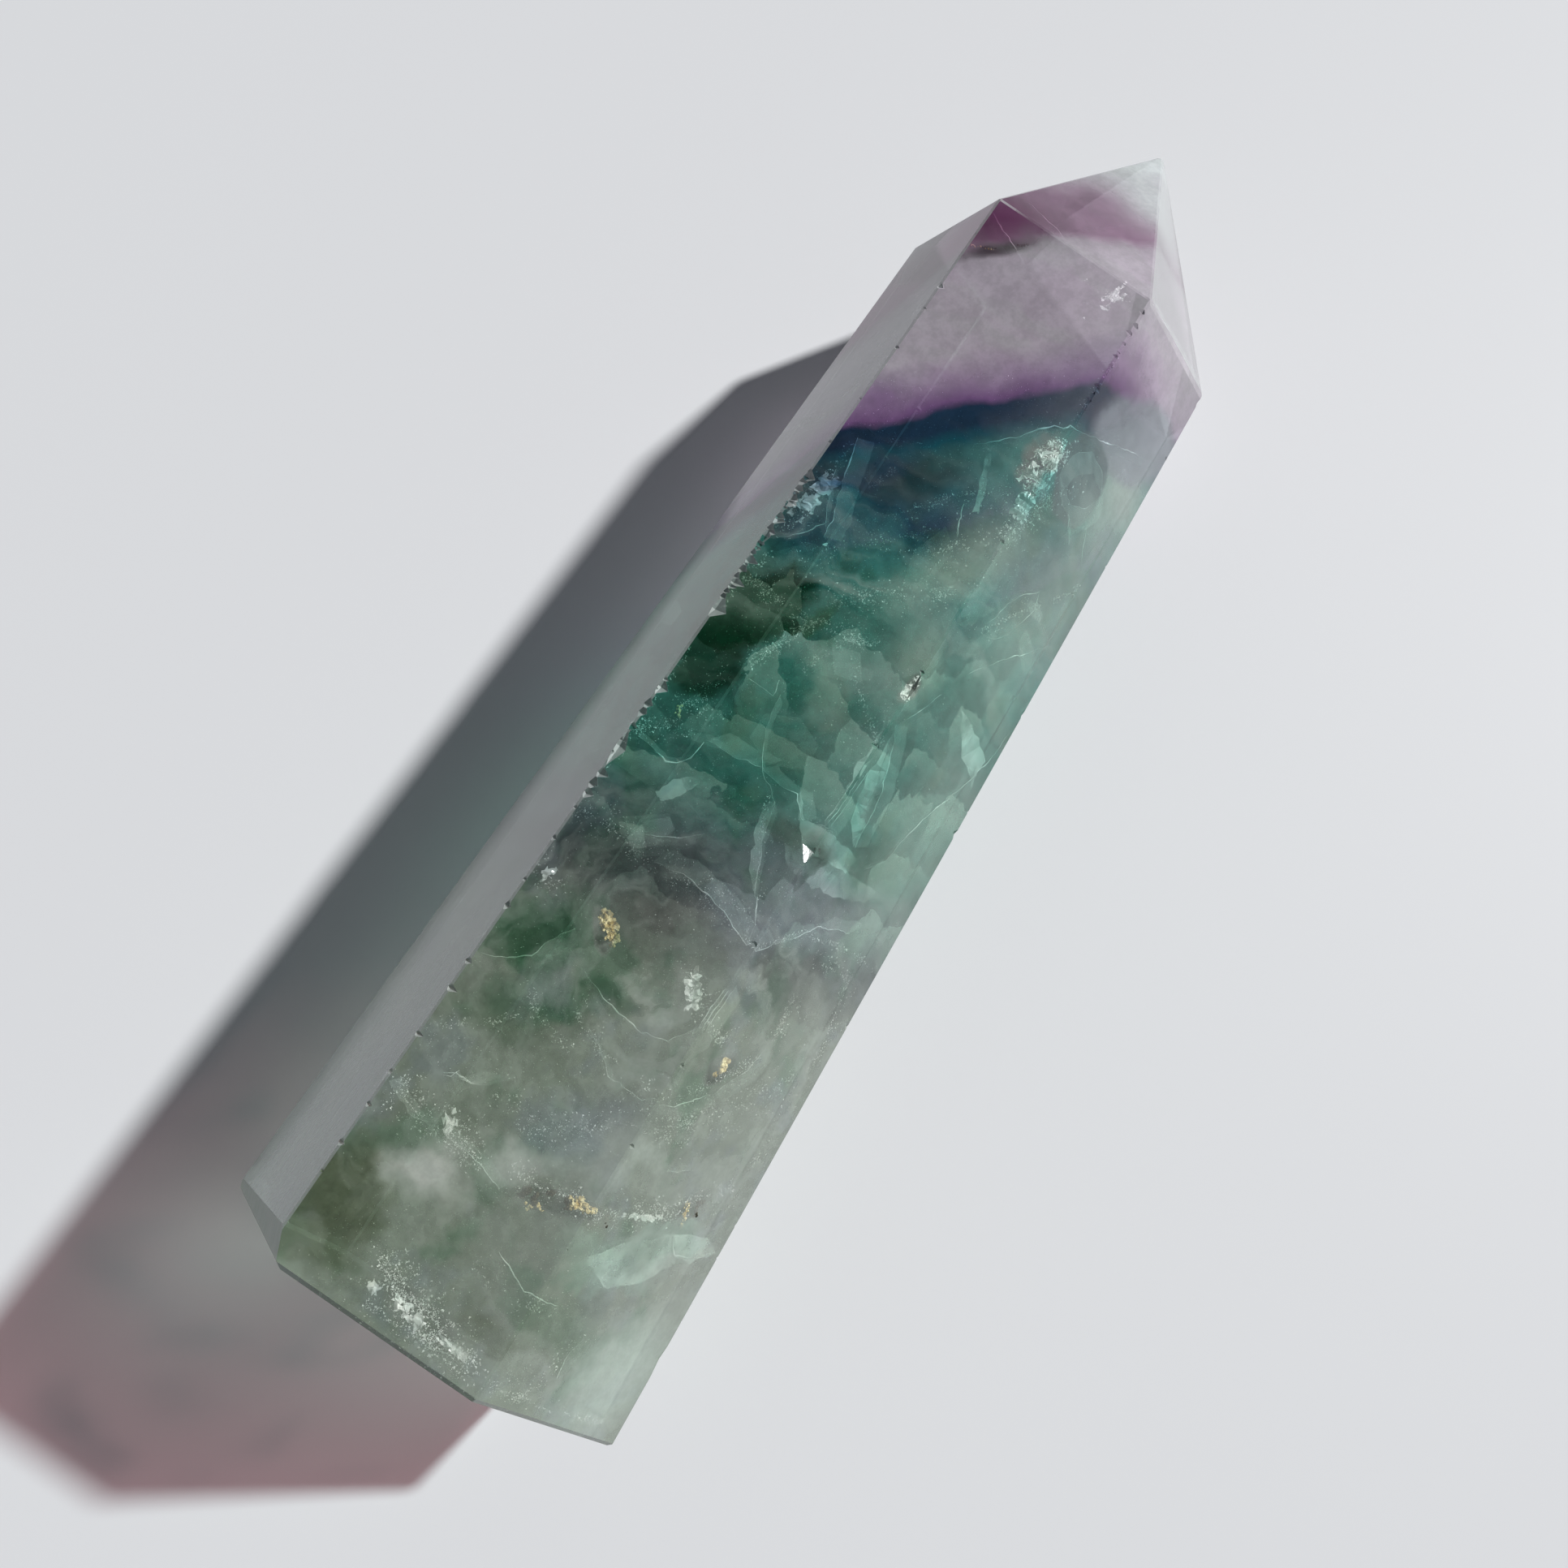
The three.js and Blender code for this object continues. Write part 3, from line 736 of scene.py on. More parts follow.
@dataclass
class MineralPattern(PatternPart):
    """Colour and clearness of the stone at any place in it.

    Attributes:
        drift_mm: length over which zone edges wander.
        drift_noise: detail and roughness of the noise that moves them.
        gentle_mm: how far smooth zone edges wander.
        torn_mm: how far ragged zone edges wander.
        snap: how far torn zone edges keep to the cleavage blocks.
        frames: turned places, one for all zones that share a turn.
    """

    drift_mm: float = 5.5
    drift_noise: Pair = (3.0, 0.6)
    gentle_mm: float = 0.55
    torn_mm: float = 1.7
    snap: float = 0.3
    frames: dict[tuple[str, float], Socket] = field(default_factory=dict)

    def build(self) -> tuple[Socket, ...]:
        """Builds the whole pattern.

        Returns:
            Colour, share of light that passes into the stone, haze and painted light of the face, how far
            it is smooth and no rough chip, and the height of the grinding streaks.
        """
        place = self._scaled(add_node(self.tree, "TexCoord").outputs["Object"], 1 / MM)
        gentle, torn, cloud = self._drifts(place)
        blocks = CleavageBlocks(self.tree)
        centre, painted_block_light = blocks.build(gentle)
        colour, traits = Background(self.tree).build(gentle, torn, cloud)
        split = add_node(self.tree, "SeparateColor", {}, {0: traits})
        clear, veiled, cleaved = split.outputs[0], split.outputs[1], split.outputs[2]
        blocky = self._blend(self._maths("MULTIPLY", cleaved, self.snap), torn, centre)
        veils = FoldedVeils(self.tree).build(torn)
        for zone in ZONES:
            mask = self._zone_mask(zone, gentle if zone.edge is Edge.SMOOTH else blocky)
            if zone.edge is Edge.WISPY:
                mask = self._maths("MULTIPLY", mask, veils)
            colour = self._blend(mask, colour, zone.tint.colour)
            clear = self._mix(mask, clear, zone.tint.clear)
        # Painted light and shade on the cleavage blocks.
        colour, clear = blocks.light(cleaved, painted_block_light, colour, clear)
        veil = self._maths("MULTIPLY", veils, veiled)
        colour = self._blend(veil, colour, Tint.MIST.colour)
        clear = self._mix(veil, clear, Tint.MIST.clear)
        colour, clear = Mottling(self.tree).build(place, colour, clear)
        ground = GroundSurface(self.tree)
        streaks = ground.streaks(place)
        haze_and_painted_light, flat = ground.haze_and_painted_light(place, streaks)
        clear = self._maths("MULTIPLY", clear, self._ranged(flat, 0.0, 1.0, CHIP_CLEAR, 1.0))
        # Real haze, and painted light on the top and the long left face.
        colour = self._blend(haze_and_painted_light, colour, linear(HAZE_AND_PAINTED_LIGHT_COLOUR))
        clear = self._mix(haze_and_painted_light, clear, HAZE_AND_PAINTED_LIGHT_CLEAR)
        return colour, clear, haze_and_painted_light, flat, streaks

    def _drifts(self, place: Socket) -> tuple[Socket, Socket, Socket]:
        """Moves the pattern's place about by noise, a little and more.

        Args:
            place: place in millimetres.

        Returns:
            The gently and the raggedly shifted place, and the noise itself.
        """
        cloud = self._cloud(place, self.drift_mm, *self.drift_noise).outputs["Color"]
        centred = self._vector("SUBTRACT", cloud, NOISE_MIDDLE)
        shifted = []
        for amount in (self.gentle_mm, self.torn_mm):
            shift = self._scaled(centred, NOISE_GAIN * amount)
            shifted.append(self._vector("ADD", place, shift))
        return shifted[0], shifted[1], cloud

    def _zone_mask(self, zone: Zone, place: Socket) -> Socket:
        """Masks one zone.

        Args:
            zone: the zone.
            place: place in millimetres.

        Returns:
            The zone's share, from 0 to its strength.
        """
        key = (place.node.name, zone.turn)
        if key not in self.frames:
            turn = {"Vector": place, "Angle": math.radians(-zone.turn)}
            settings = {"rotation_type": "Z_AXIS"}
            self.frames[key] = add_node(self.tree, "VectorRotate", settings, turn).outputs[0]
        centre = Matrix.Rotation(math.radians(-zone.turn), 3, "Z") @ Vector(zone.centre)
        slim = [1 / half for half in zone.half]
        shift = [-middle * share for middle, share in zip(centre, slim)]
        inputs = {0: self.frames[key], 1: slim, 2: shift}
        settings = {"operation": "MULTIPLY_ADD"}
        local = add_node(self.tree, "VectorMath", settings, inputs).outputs[0]
        reach = self._vector("LENGTH", local, output=1)
        return self._ranged(reach, 1.0, 1.0 - zone.soft, 0.0, zone.strength)


@dataclass(frozen=True)
class PolishedFluorite:
    """Natural fluorite, lapped and polished: see-through with milky zones.

    It gives the eye a glassy surface of low index with coloured depth under it, and satin faces
    where the last polish was short.

    Attributes:
        ior: refractive index.
        gloss: roughness of a face without haze.
        satin: roughness of a face with full haze.
        depth_tint: colour that a long way through the stone leaves.
        depth_density: how fast it does, per metre.
        entry_tint: share of the sunlight that gets in, to what is closed in the stone.
        under_tints: share of it that leaves under the stone, at the body and at the foot.
        shadow_tints: share of it that leaves through the sides, at the body and at the foot.
        pale_run_mm: along +X, where the body's tints end and the foot's tints start.
        side_rise_mm: height up to which the stone counts as its underside, and from which as side.
        streak_mm: height of the grinding streaks.
    """

    ior: float = 1.434
    gloss: float = 0.02
    satin: float = 0.14
    depth_tint: str = "bfc8c3"
    depth_density: float = 80.0
    entry_tint: str = "c6c2c4"
    under_tints: tuple[str, str] = ("ada9ae", "e2d2d6")
    shadow_tints: tuple[str, str] = ("1c1a1a", "c39092")
    pale_run_mm: Pair = (-24.0, -48.0)
    side_rise_mm: Pair = (0.3, 1.0)
    streak_mm: float = 0.004

    def build(self) -> bpy.types.Material:
        """Makes the stone's material."""
        material, tree = new_material("polished_fluorite")
        tree.nodes.clear()
        colour, clear, haze_and_painted_light, flat, streaks = MineralPattern(tree).build()
        ground = add_node(tree, "MapRange", {}, {0: haze_and_painted_light, 3: self.gloss, 4: self.satin}).outputs[0]
        roughness = add_node(tree, "Mix", {}, {0: flat, 2: CHIP_ROUGHNESS, 3: ground}).outputs[0]
        relief = {"Height": streaks, "Distance": self.streak_mm * MM}
        surface = add_node(
            tree,
            "BsdfPrincipled",
            {},
            {
                "Base Color": colour,
                "Transmission Weight": clear,
                "Roughness": roughness,
                "IOR": self.ior,
                "Normal": add_node(tree, "Bump", {}, relief).outputs[0],
            },
        )
        # Sunlight gets in to what lies inside, and dimmed to the table: the least of it gets out
        # through the sides, which cast the shadow, and the pale foot lets more through.
        place = add_node(tree, "SeparateXYZ", {}, {0: add_node(tree, "TexCoord").outputs["Object"]})
        start, end = self.pale_run_mm
        pale = {0: place.outputs[0], 1: start * MM, 2: end * MM}
        share = add_node(tree, "MapRange", {}, pale).outputs[0]
        low, high = self.side_rise_mm
        rise = {0: place.outputs[2], 1: low * MM, 2: high * MM}
        height = add_node(tree, "MapRange", {}, rise).outputs[0]
        ways = []
        for body, foot in (self.under_tints, self.shadow_tints):
            ways.append(blend(tree, share, linear(body), linear(foot)))
        leaving = blend(tree, height, *ways)
        inside = add_node(tree, "NewGeometry").outputs["Backfacing"]
        tint = blend(tree, inside, leaving, linear(self.entry_tint))
        lit_through = add_node(tree, "BsdfTransparent", {}, {"Color": tint})
        shadow_ray = add_node(tree, "LightPath").outputs["Is Shadow Ray"]
        mixed = add_node(
            tree, "MixShader", {}, {0: shadow_ray, 1: surface.outputs[0], 2: lit_through.outputs[0]}
        )
        depth = add_node(
            tree,
            "VolumeAbsorption",
            {},
            {"Color": linear(self.depth_tint), "Density": self.depth_density},
        )
        add_node(tree, "OutputMaterial", {}, {"Surface": mixed.outputs[0], "Volume": depth.outputs[0]})
        return material


@dataclass(frozen=True)
class Inclusion:
    """Finish of something closed in the stone, mottled between two colours.

    Attributes:
        name: what it is.
        light: its lighter colour.
        dark: its darker colour.
        grain_mm: size of the mottling.
        roughness: how matt it is.
        alpha: how much it covers what lies behind it, where it covers most.
        patch_mm: size of the patches in which it does; 0 for the same everywhere.
        ior: its refractive index.
        grain_span: noise of the darkest and of the lightest mottling.
        patch_span: noise at which a patch starts and covers most.
        grain_detail: detail of the mottling.
        patch_detail: detail of the patches.
    """

    name: str
    light: str
    dark: str
    grain_mm: float
    roughness: float
    alpha: float = 1.0
    patch_mm: float = 0.0
    ior: float = 1.45
    grain_span: Pair = (0.35, 0.65)
    patch_span: Pair = (0.36, 0.6)
    grain_detail: float = 2.0
    patch_detail: float = 3.0

    def build(self) -> bpy.types.Material:
        """Makes the inclusion's material."""
        material, tree = new_material(self.name)
        surface = tree.nodes["Principled BSDF"]
        place = add_node(tree, "TexCoord").outputs["Object"]
        inputs = {"Vector": place, "Scale": 1 / (self.grain_mm * MM), "Detail": self.grain_detail}
        grain = add_node(tree, "TexNoise", {}, inputs).outputs[0]
        low, high = self.grain_span
        share = add_node(tree, "MapRange", {}, {0: grain, 1: low, 2: high}).outputs[0]
        mottled = blend(tree, share, linear(self.dark), linear(self.light))
        tree.links.new(mottled, surface.inputs["Base Color"])
        surface.inputs["Roughness"].default_value = self.roughness
        surface.inputs["IOR"].default_value = self.ior
        surface.inputs["Alpha"].default_value = self.alpha
        if self.patch_mm:
            patch = {"Vector": place, "Scale": 1 / (self.patch_mm * MM), "Detail": self.patch_detail}
            cover = add_node(tree, "TexNoise", {}, patch).outputs[0]
            low, high = self.patch_span
            fade = add_node(tree, "MapRange", {}, {0: cover, 1: low, 2: high, 4: self.alpha})
            tree.links.new(fade.outputs[0], surface.inputs["Alpha"])
        return material


@dataclass(frozen=True)
class FreshFracture(Inclusion):
    """Faces of a fresh inner break with a gap behind them: they flash white in the sun."""

    name: str = "fresh_fracture"
    light: str = "fbfcfc"
    dark: str = "dbe5e2"
    grain_mm: float = 0.8
    roughness: float = 0.16
    ior: float = 1.9


@dataclass(frozen=True)
class HealedVeil(Inclusion):
    """Grains of a healed crack, full of tiny cavities: soft and whitish."""

    name: str = "healed_veil"
    light: str = "ffffff"
    dark: str = "dbe4df"
    grain_mm: float = 1.6
    roughness: float = 0.5


@dataclass(frozen=True)
class CleavageLedge(Inclusion):
    """A cleavage step seen flat on: smooth, pale green, fading where it heals."""

    name: str = "cleavage_ledge"
    light: str = "e9f1ed"
    dark: str = "c4d8cf"
    grain_mm: float = 2.5
    roughness: float = 0.3
    alpha: float = 0.5
    patch_mm: float = 3.0


@dataclass(frozen=True)
class CleavageWall(Inclusion):
    """A tight cleavage crack: a thin glassy wall that hardly covers what is behind it."""

    name: str = "cleavage_wall"
    light: str = "e0ece6"
    dark: str = "b5cdc2"
    grain_mm: float = 2.5
    roughness: float = 0.2
    alpha: float = 0.12


@dataclass(frozen=True)
class CrackEdge(Inclusion):
    """The bright edge where a crack turns up: pale, a little satin."""

    name: str = "crack_edge"
    light: str = "f0f6f3"
    dark: str = "bccfc7"
    grain_mm: float = 1.2
    roughness: float = 0.35


@dataclass(frozen=True)
class DirtyCrack(Inclusion):
    """A hair crack under the long face with dust in it: grey and matt."""

    name: str = "dirty_crack"
    light: str = "6d7478"
    dark: str = "3d4448"
    grain_mm: float = 0.9
    roughness: float = 0.8


@dataclass(frozen=True)
class IronStain(Inclusion):
    """Rusty clay in small pockets: ochre to sand, matt."""

    name: str = "iron_stain"
    light: str = "ece0b4"
    dark: str = "a3894a"
    grain_mm: float = 0.35
    roughness: float = 0.85


@dataclass(frozen=True)
class DarkSpeck(Inclusion):
    """Specks of manganese and iron oxide: olive black, matt."""

    name: str = "dark_speck"
    light: str = "3d3a26"
    dark: str = "17160f"
    grain_mm: float = 0.3
    roughness: float = 0.7


@dataclass(frozen=True)
class TablePaint:
    """White satin table top: pale, almost flat.

    Attributes:
        colour: its colour.
        roughness: how matt it is.
    """

    colour: str = "e3e4e6"
    roughness: float = 0.55

    def build(self) -> bpy.types.Material:
        """Makes the table's material."""
        material, tree = new_material("satin_table")
        surface = tree.nodes["Principled BSDF"]
        surface.inputs["Base Color"].default_value = linear(self.colour)
        surface.inputs["Roughness"].default_value = self.roughness
        return material


@dataclass
class Tower:
    """The stone itself.

    Attributes:
        finish: its finish.
        core_mm: along +X, the ends of the line that its core lies on.
        core_height_mm: height of that line.
    """

    finish: PolishedFluorite = PolishedFluorite()
    core_mm: Pair = (-42.0, 32.0)
    core_height_mm: float = 12.0

    def __post_init__(self) -> None:
        """Takes the stone's shape, to tell what lies inside it."""
        self.stone = frame["nodes"][STONE_NODE]
        shape = bmesh.new()
        shape.from_mesh(self.stone.data)
        bmesh.ops.scale(shape, vec=(1 / MM, 1 / MM, 1 / MM), verts=shape.verts)
        self.skin = BVHTree.FromBMesh(shape)
        shape.free()

    def dress(self) -> bpy.types.Object:
        """Gives the stone its finish."""
        self.stone.data.materials.clear()
        self.stone.data.materials.append(self.finish.build())
        LOG.info("%s dressed, %d faces", self.stone.name, len(self.stone.data.polygons))
        return self.stone

    def holds(self, place: Vector, margin_mm: float) -> bool:
        """Tells if a place lies inside the stone.

        Args:
            place: place in millimetres.
            margin_mm: least distance to the surface.

        Returns:
            Whether it is at least that deep.
        """
        nearest, normal, _, distance = self.skin.find_nearest(place)
        return distance >= margin_mm and (place - nearest).dot(normal) < 0

    def tucked(self, place: Vector, margin_mm: float) -> Vector:
        """Moves a place towards the stone's core until it lies inside.

        Args:
            place: place in millimetres.
            margin_mm: least depth.

        Returns:
            The moved place.
        """
        low, high = self.core_mm
        core = Vector((min(max(place.x, low), high), 0.0, self.core_height_mm))
        inward = (core - place).normalized() * margin_mm
        while not self.holds(place, margin_mm):
            place = place + inward
        return place


@dataclass
class Enclosed:
    """Something closed in the stone.

    Attributes:
        tower: the stone.
        name: the piece's name.
        finish: its finish.
        seed: start of its random numbers.
        margin_mm: least depth under the stone's surface.
    """

    tower: Tower
    name: str
    finish: Inclusion
    seed: int = 1
    margin_mm: float = 0.15

    def __post_init__(self) -> None:
        """Starts the random numbers."""
        self.rng = random.Random(self.seed)

    def place(self, shape: bmesh.types.BMesh) -> bpy.types.Object:
        """Turns a shape in millimetres to a piece that rides with the stone.

        Args:
            shape: the shape, which is used up.

        Returns:
            The piece.
        """
        bmesh.ops.scale(shape, vec=(MM, MM, MM), verts=shape.verts)
        mesh = bpy.data.meshes.new(self.name)
        shape.to_mesh(mesh)
        shape.free()
        mesh.materials.append(self.finish.build())
        piece = bpy.data.objects.new(self.name, mesh)
        bpy.context.scene.collection.objects.link(piece)
        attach(piece, BODY)
        LOG.info("%s: %d faces", self.name, len(mesh.polygons))
        return piece


class Crumb(Enum):
    """Shape of a small broken piece: a flat sliver or a rounded grain."""

    SLIVER = "sliver"
    GRAIN = "grain"


@dataclass
class CrumbPile(Enclosed):
    """Many small crumbs joined in one piece.

    Attributes:
        crumb: shape of a crumb.
        batch: crumbs that are made at a time.
        width_share: least and largest width of a crumb, as a share of its length.
        depth_share: thickness of a sliver, as a share of half its length.
    """

    crumb: Crumb = Crumb.SLIVER
    batch: int = 48
    width_share: Pair = (0.3, 1.0)
    depth_share: float = 0.35

    def __post_init__(self) -> None:
        """Starts an empty pile."""
        super().__post_init__()
        self.pile = bmesh.new()
        self.handful = bmesh.new()
        self.in_hand = 0
        self.carrier = bpy.data.meshes.new(self.name + "_carrier")

    def drop(self, place: Vector, size_mm: float) -> None:
        """Adds a crumb where the stone has room for it.

        Args:
            place: its middle.
            size_mm: its length.
        """
        if not self.tower.holds(place, self.margin_mm):
            return
        angles = [self.rng.uniform(0, math.tau) for _ in range(3)]
        slim = Matrix.Diagonal((1.0, self.rng.uniform(*self.width_share), 1.0, 1.0))
        matrix = Matrix.Translation(place) @ Euler(angles).to_matrix().to_4x4() @ slim
        radius = size_mm / 2
        if self.crumb is Crumb.SLIVER:
            bmesh.ops.create_cone(
                self.handful,
                cap_ends=True,
                segments=3,
                radius1=radius,
                radius2=0.0,
                depth=radius * self.depth_share,
                matrix=matrix,
            )
        else:
            bmesh.ops.create_icosphere(self.handful, subdivisions=1, radius=radius, matrix=matrix)
        self.in_hand += 1
        if self.in_hand >= self.batch:
            self._pour()

    def _pour(self) -> None:
        """Moves the crumbs in hand to the pile."""
        self.handful.to_mesh(self.carrier)
        self.pile.from_mesh(self.carrier)
        self.handful.clear()
        self.in_hand = 0

    def finish_pile(self) -> bpy.types.Object:
        """Turns the whole pile to a piece."""
        self._pour()
        self.handful.free()
        bpy.data.meshes.remove(self.carrier)
        return self.place(self.pile)


@dataclass(frozen=True)
class Sparkle:
    """A strip of broken slivers.

    Attributes:
        start: where it starts.
        end: where it ends.
        spread_mm: its width.
        count: number of slivers.
        size_mm: size of the largest.
    """

    start: Point
    end: Point
    spread_mm: float
    count: int
    size_mm: float


SPARKLES: tuple[Sparkle, ...] = (
    # beside the shoulder
    Sparkle((32.6, -2.5, 21.6), (37.2, -5.0, 20.3), 1.4, 70, 0.25),
    # white fracture
    Sparkle((18.6, -6.1, 22.1), (23.2, -6.6, 21.8), 1.2, 220, 0.55),
    Sparkle((17.8, -6.6, 21.5), (22.3, -8.4, 17.9), 1.1, 60, 0.35),
    # along the ridge
    Sparkle((24.6, -6.7, 22.5), (30.5, -6.7, 22.1), 0.3, 70, 0.22),
    # rough patch by the long edge
    Sparkle((6.8, 6.6, 23.7), (12.2, 5.5, 23.4), 1.7, 420, 0.17),
    Sparkle((3.2, 6.7, 24.1), (4.7, 6.1, 23.9), 0.5, 40, 0.25),
    # sparkling mist
    Sparkle((2.9, 6.3, 23.1), (6.8, -3.1, 22.6), 1.4, 160, 0.22),
    Sparkle((2.4, -0.6, 23.0), (17.2, -7.0, 20.8), 1.7, 260, 0.24),
    Sparkle((12.1, -1.2, 22.1), (20.3, -6.4, 21.2), 1.1, 120, 0.2),
    # right of the green patches
    Sparkle((-3.2, 3.4, 23.7), (1.8, 2.0, 23.3), 0.7, 110, 0.24),
    Sparkle((-7.5, 4.9, 24.0), (-6.1, 2.2, 23.8), 0.7, 80, 0.2),
    Sparkle((-10.9, 7.2, 24.3), (-8.7, 4.1, 24.0), 0.8, 60, 0.2),
    # bright glint
    Sparkle((0.7, -6.7, 23.6), (2.5, -6.8, 23.5), 0.3, 26, 0.5),
    # middle
    Sparkle((-1.4, -0.9, 22.9), (-2.8, -9.0, 18.5), 3.4, 60, 0.25),
    # smoky
    Sparkle((-22.6, -5.0, 24.4), (-24.0, -7.3, 24.4), 0.8, 90, 0.28),
    Sparkle((-22.8, 7.3, 25.0), (-22.2, 5.5, 24.9), 0.7, 50, 0.3),
    Sparkle((-19.4, 0.4, 24.0), (-17.7, -9.0, 19.8), 3.4, 60, 0.18),
    # above the cloud
    Sparkle((-37.9, 3.3, 25.8), (-39.1, 1.1, 25.8), 1.0, 90, 0.28),
    Sparkle((-38.2, 7.8, 25.7), (-39.5, 3.1, 25.6), 0.8, 70, 0.22),
    # stain line
    Sparkle((-37.2, -9.0, 22.8), (-36.5, -11.5, 18.4), 0.5, 150, 0.24),
    Sparkle((-39.6, -3.2, 25.8), (-37.9, -8.6, 23.4), 0.6, 60, 0.2),
    # foot
    Sparkle((-47.1, 2.1, 26.4), (-48.5, 0.0, 26.4), 0.6, 90, 0.3),
    Sparkle((-48.4, -0.2, 26.4), (-49.3, -3.2, 26.4), 1.1, 180, 0.3),
    Sparkle((-49.7, -2.9, 26.4), (-49.8, -7.2, 26.3), 1.0, 200, 0.32),
    Sparkle((-48.3, 2.4, 26.2), (-47.0, -3.4, 25.9), 1.4, 90, 0.22),
    Sparkle((-49.4, -7.5, 26.0), (-50.7, -12.0, 18.0), 1.7, 70, 0.2),
    # all over the lower half
    Sparkle((-31.1, 4.2, 24.1), (-33.5, -7.6, 22.5), 7.3, 120, 0.16),
    # chips along the edge between the top and the long left face
    Sparkle((14.8, 5.6, 23.3), (10.0, 6.1, 23.6), 0.4, 90, 0.24),
    Sparkle((8.8, 6.0, 23.7), (6.2, 6.3, 23.9), 0.4, 50, 0.24),
    Sparkle((1.2, 6.8, 24.2), (-0.6, 7.0, 24.3), 0.3, 30, 0.26),
    Sparkle((-3.9, 7.1, 24.5), (-8.9, 7.2, 24.8), 0.3, 70, 0.24),
    Sparkle((-9.5, 7.1, 24.8), (-14.0, 7.3, 25.1), 0.3, 70, 0.22),
    Sparkle((-14.7, 7.3, 25.2), (-18.2, 7.4, 25.4), 0.4, 50, 0.2),
    Sparkle((-20.0, 7.4, 25.5), (-22.6, 7.3, 25.7), 0.4, 40, 0.2),
    Sparkle((-32.2, 6.8, 26.1), (-35.6, 6.9, 26.4), 0.5, 40, 0.18),
    Sparkle((-36.9, 6.9, 26.4), (-40.1, 6.8, 26.6), 0.5, 50, 0.2),
)


@dataclass
class FractureSparkles(CrumbPile):
    """Broken slivers along inner fractures.

    Attributes:
        size_share: least and largest sliver, as a share of the strip's size.
    """

    size_share: Pair = (0.35, 1.0)

    def build(self) -> bpy.types.Object:
        """Scatters the slivers of every strip."""
        for strip in SPARKLES:
            start, end = Vector(strip.start), Vector(strip.end)
            for _ in range(strip.count):
                place = start.lerp(end, self.rng.random())
                place += Vector(self.rng.gauss(0, strip.spread_mm / 2) for _ in range(3))
                self.drop(place, strip.size_mm * self.rng.uniform(*self.size_share))
        return self.finish_pile()


@dataclass(frozen=True)
class Veil:
    """A healed crack seen as a strip of grains.

    Attributes:
        path: its course.
        width_mm: half its width.
        per_mm2: grains in a square millimetre.
        grain_mm: size of a grain.
    """

    path: Course
    width_mm: float
    per_mm2: float
    grain_mm: float


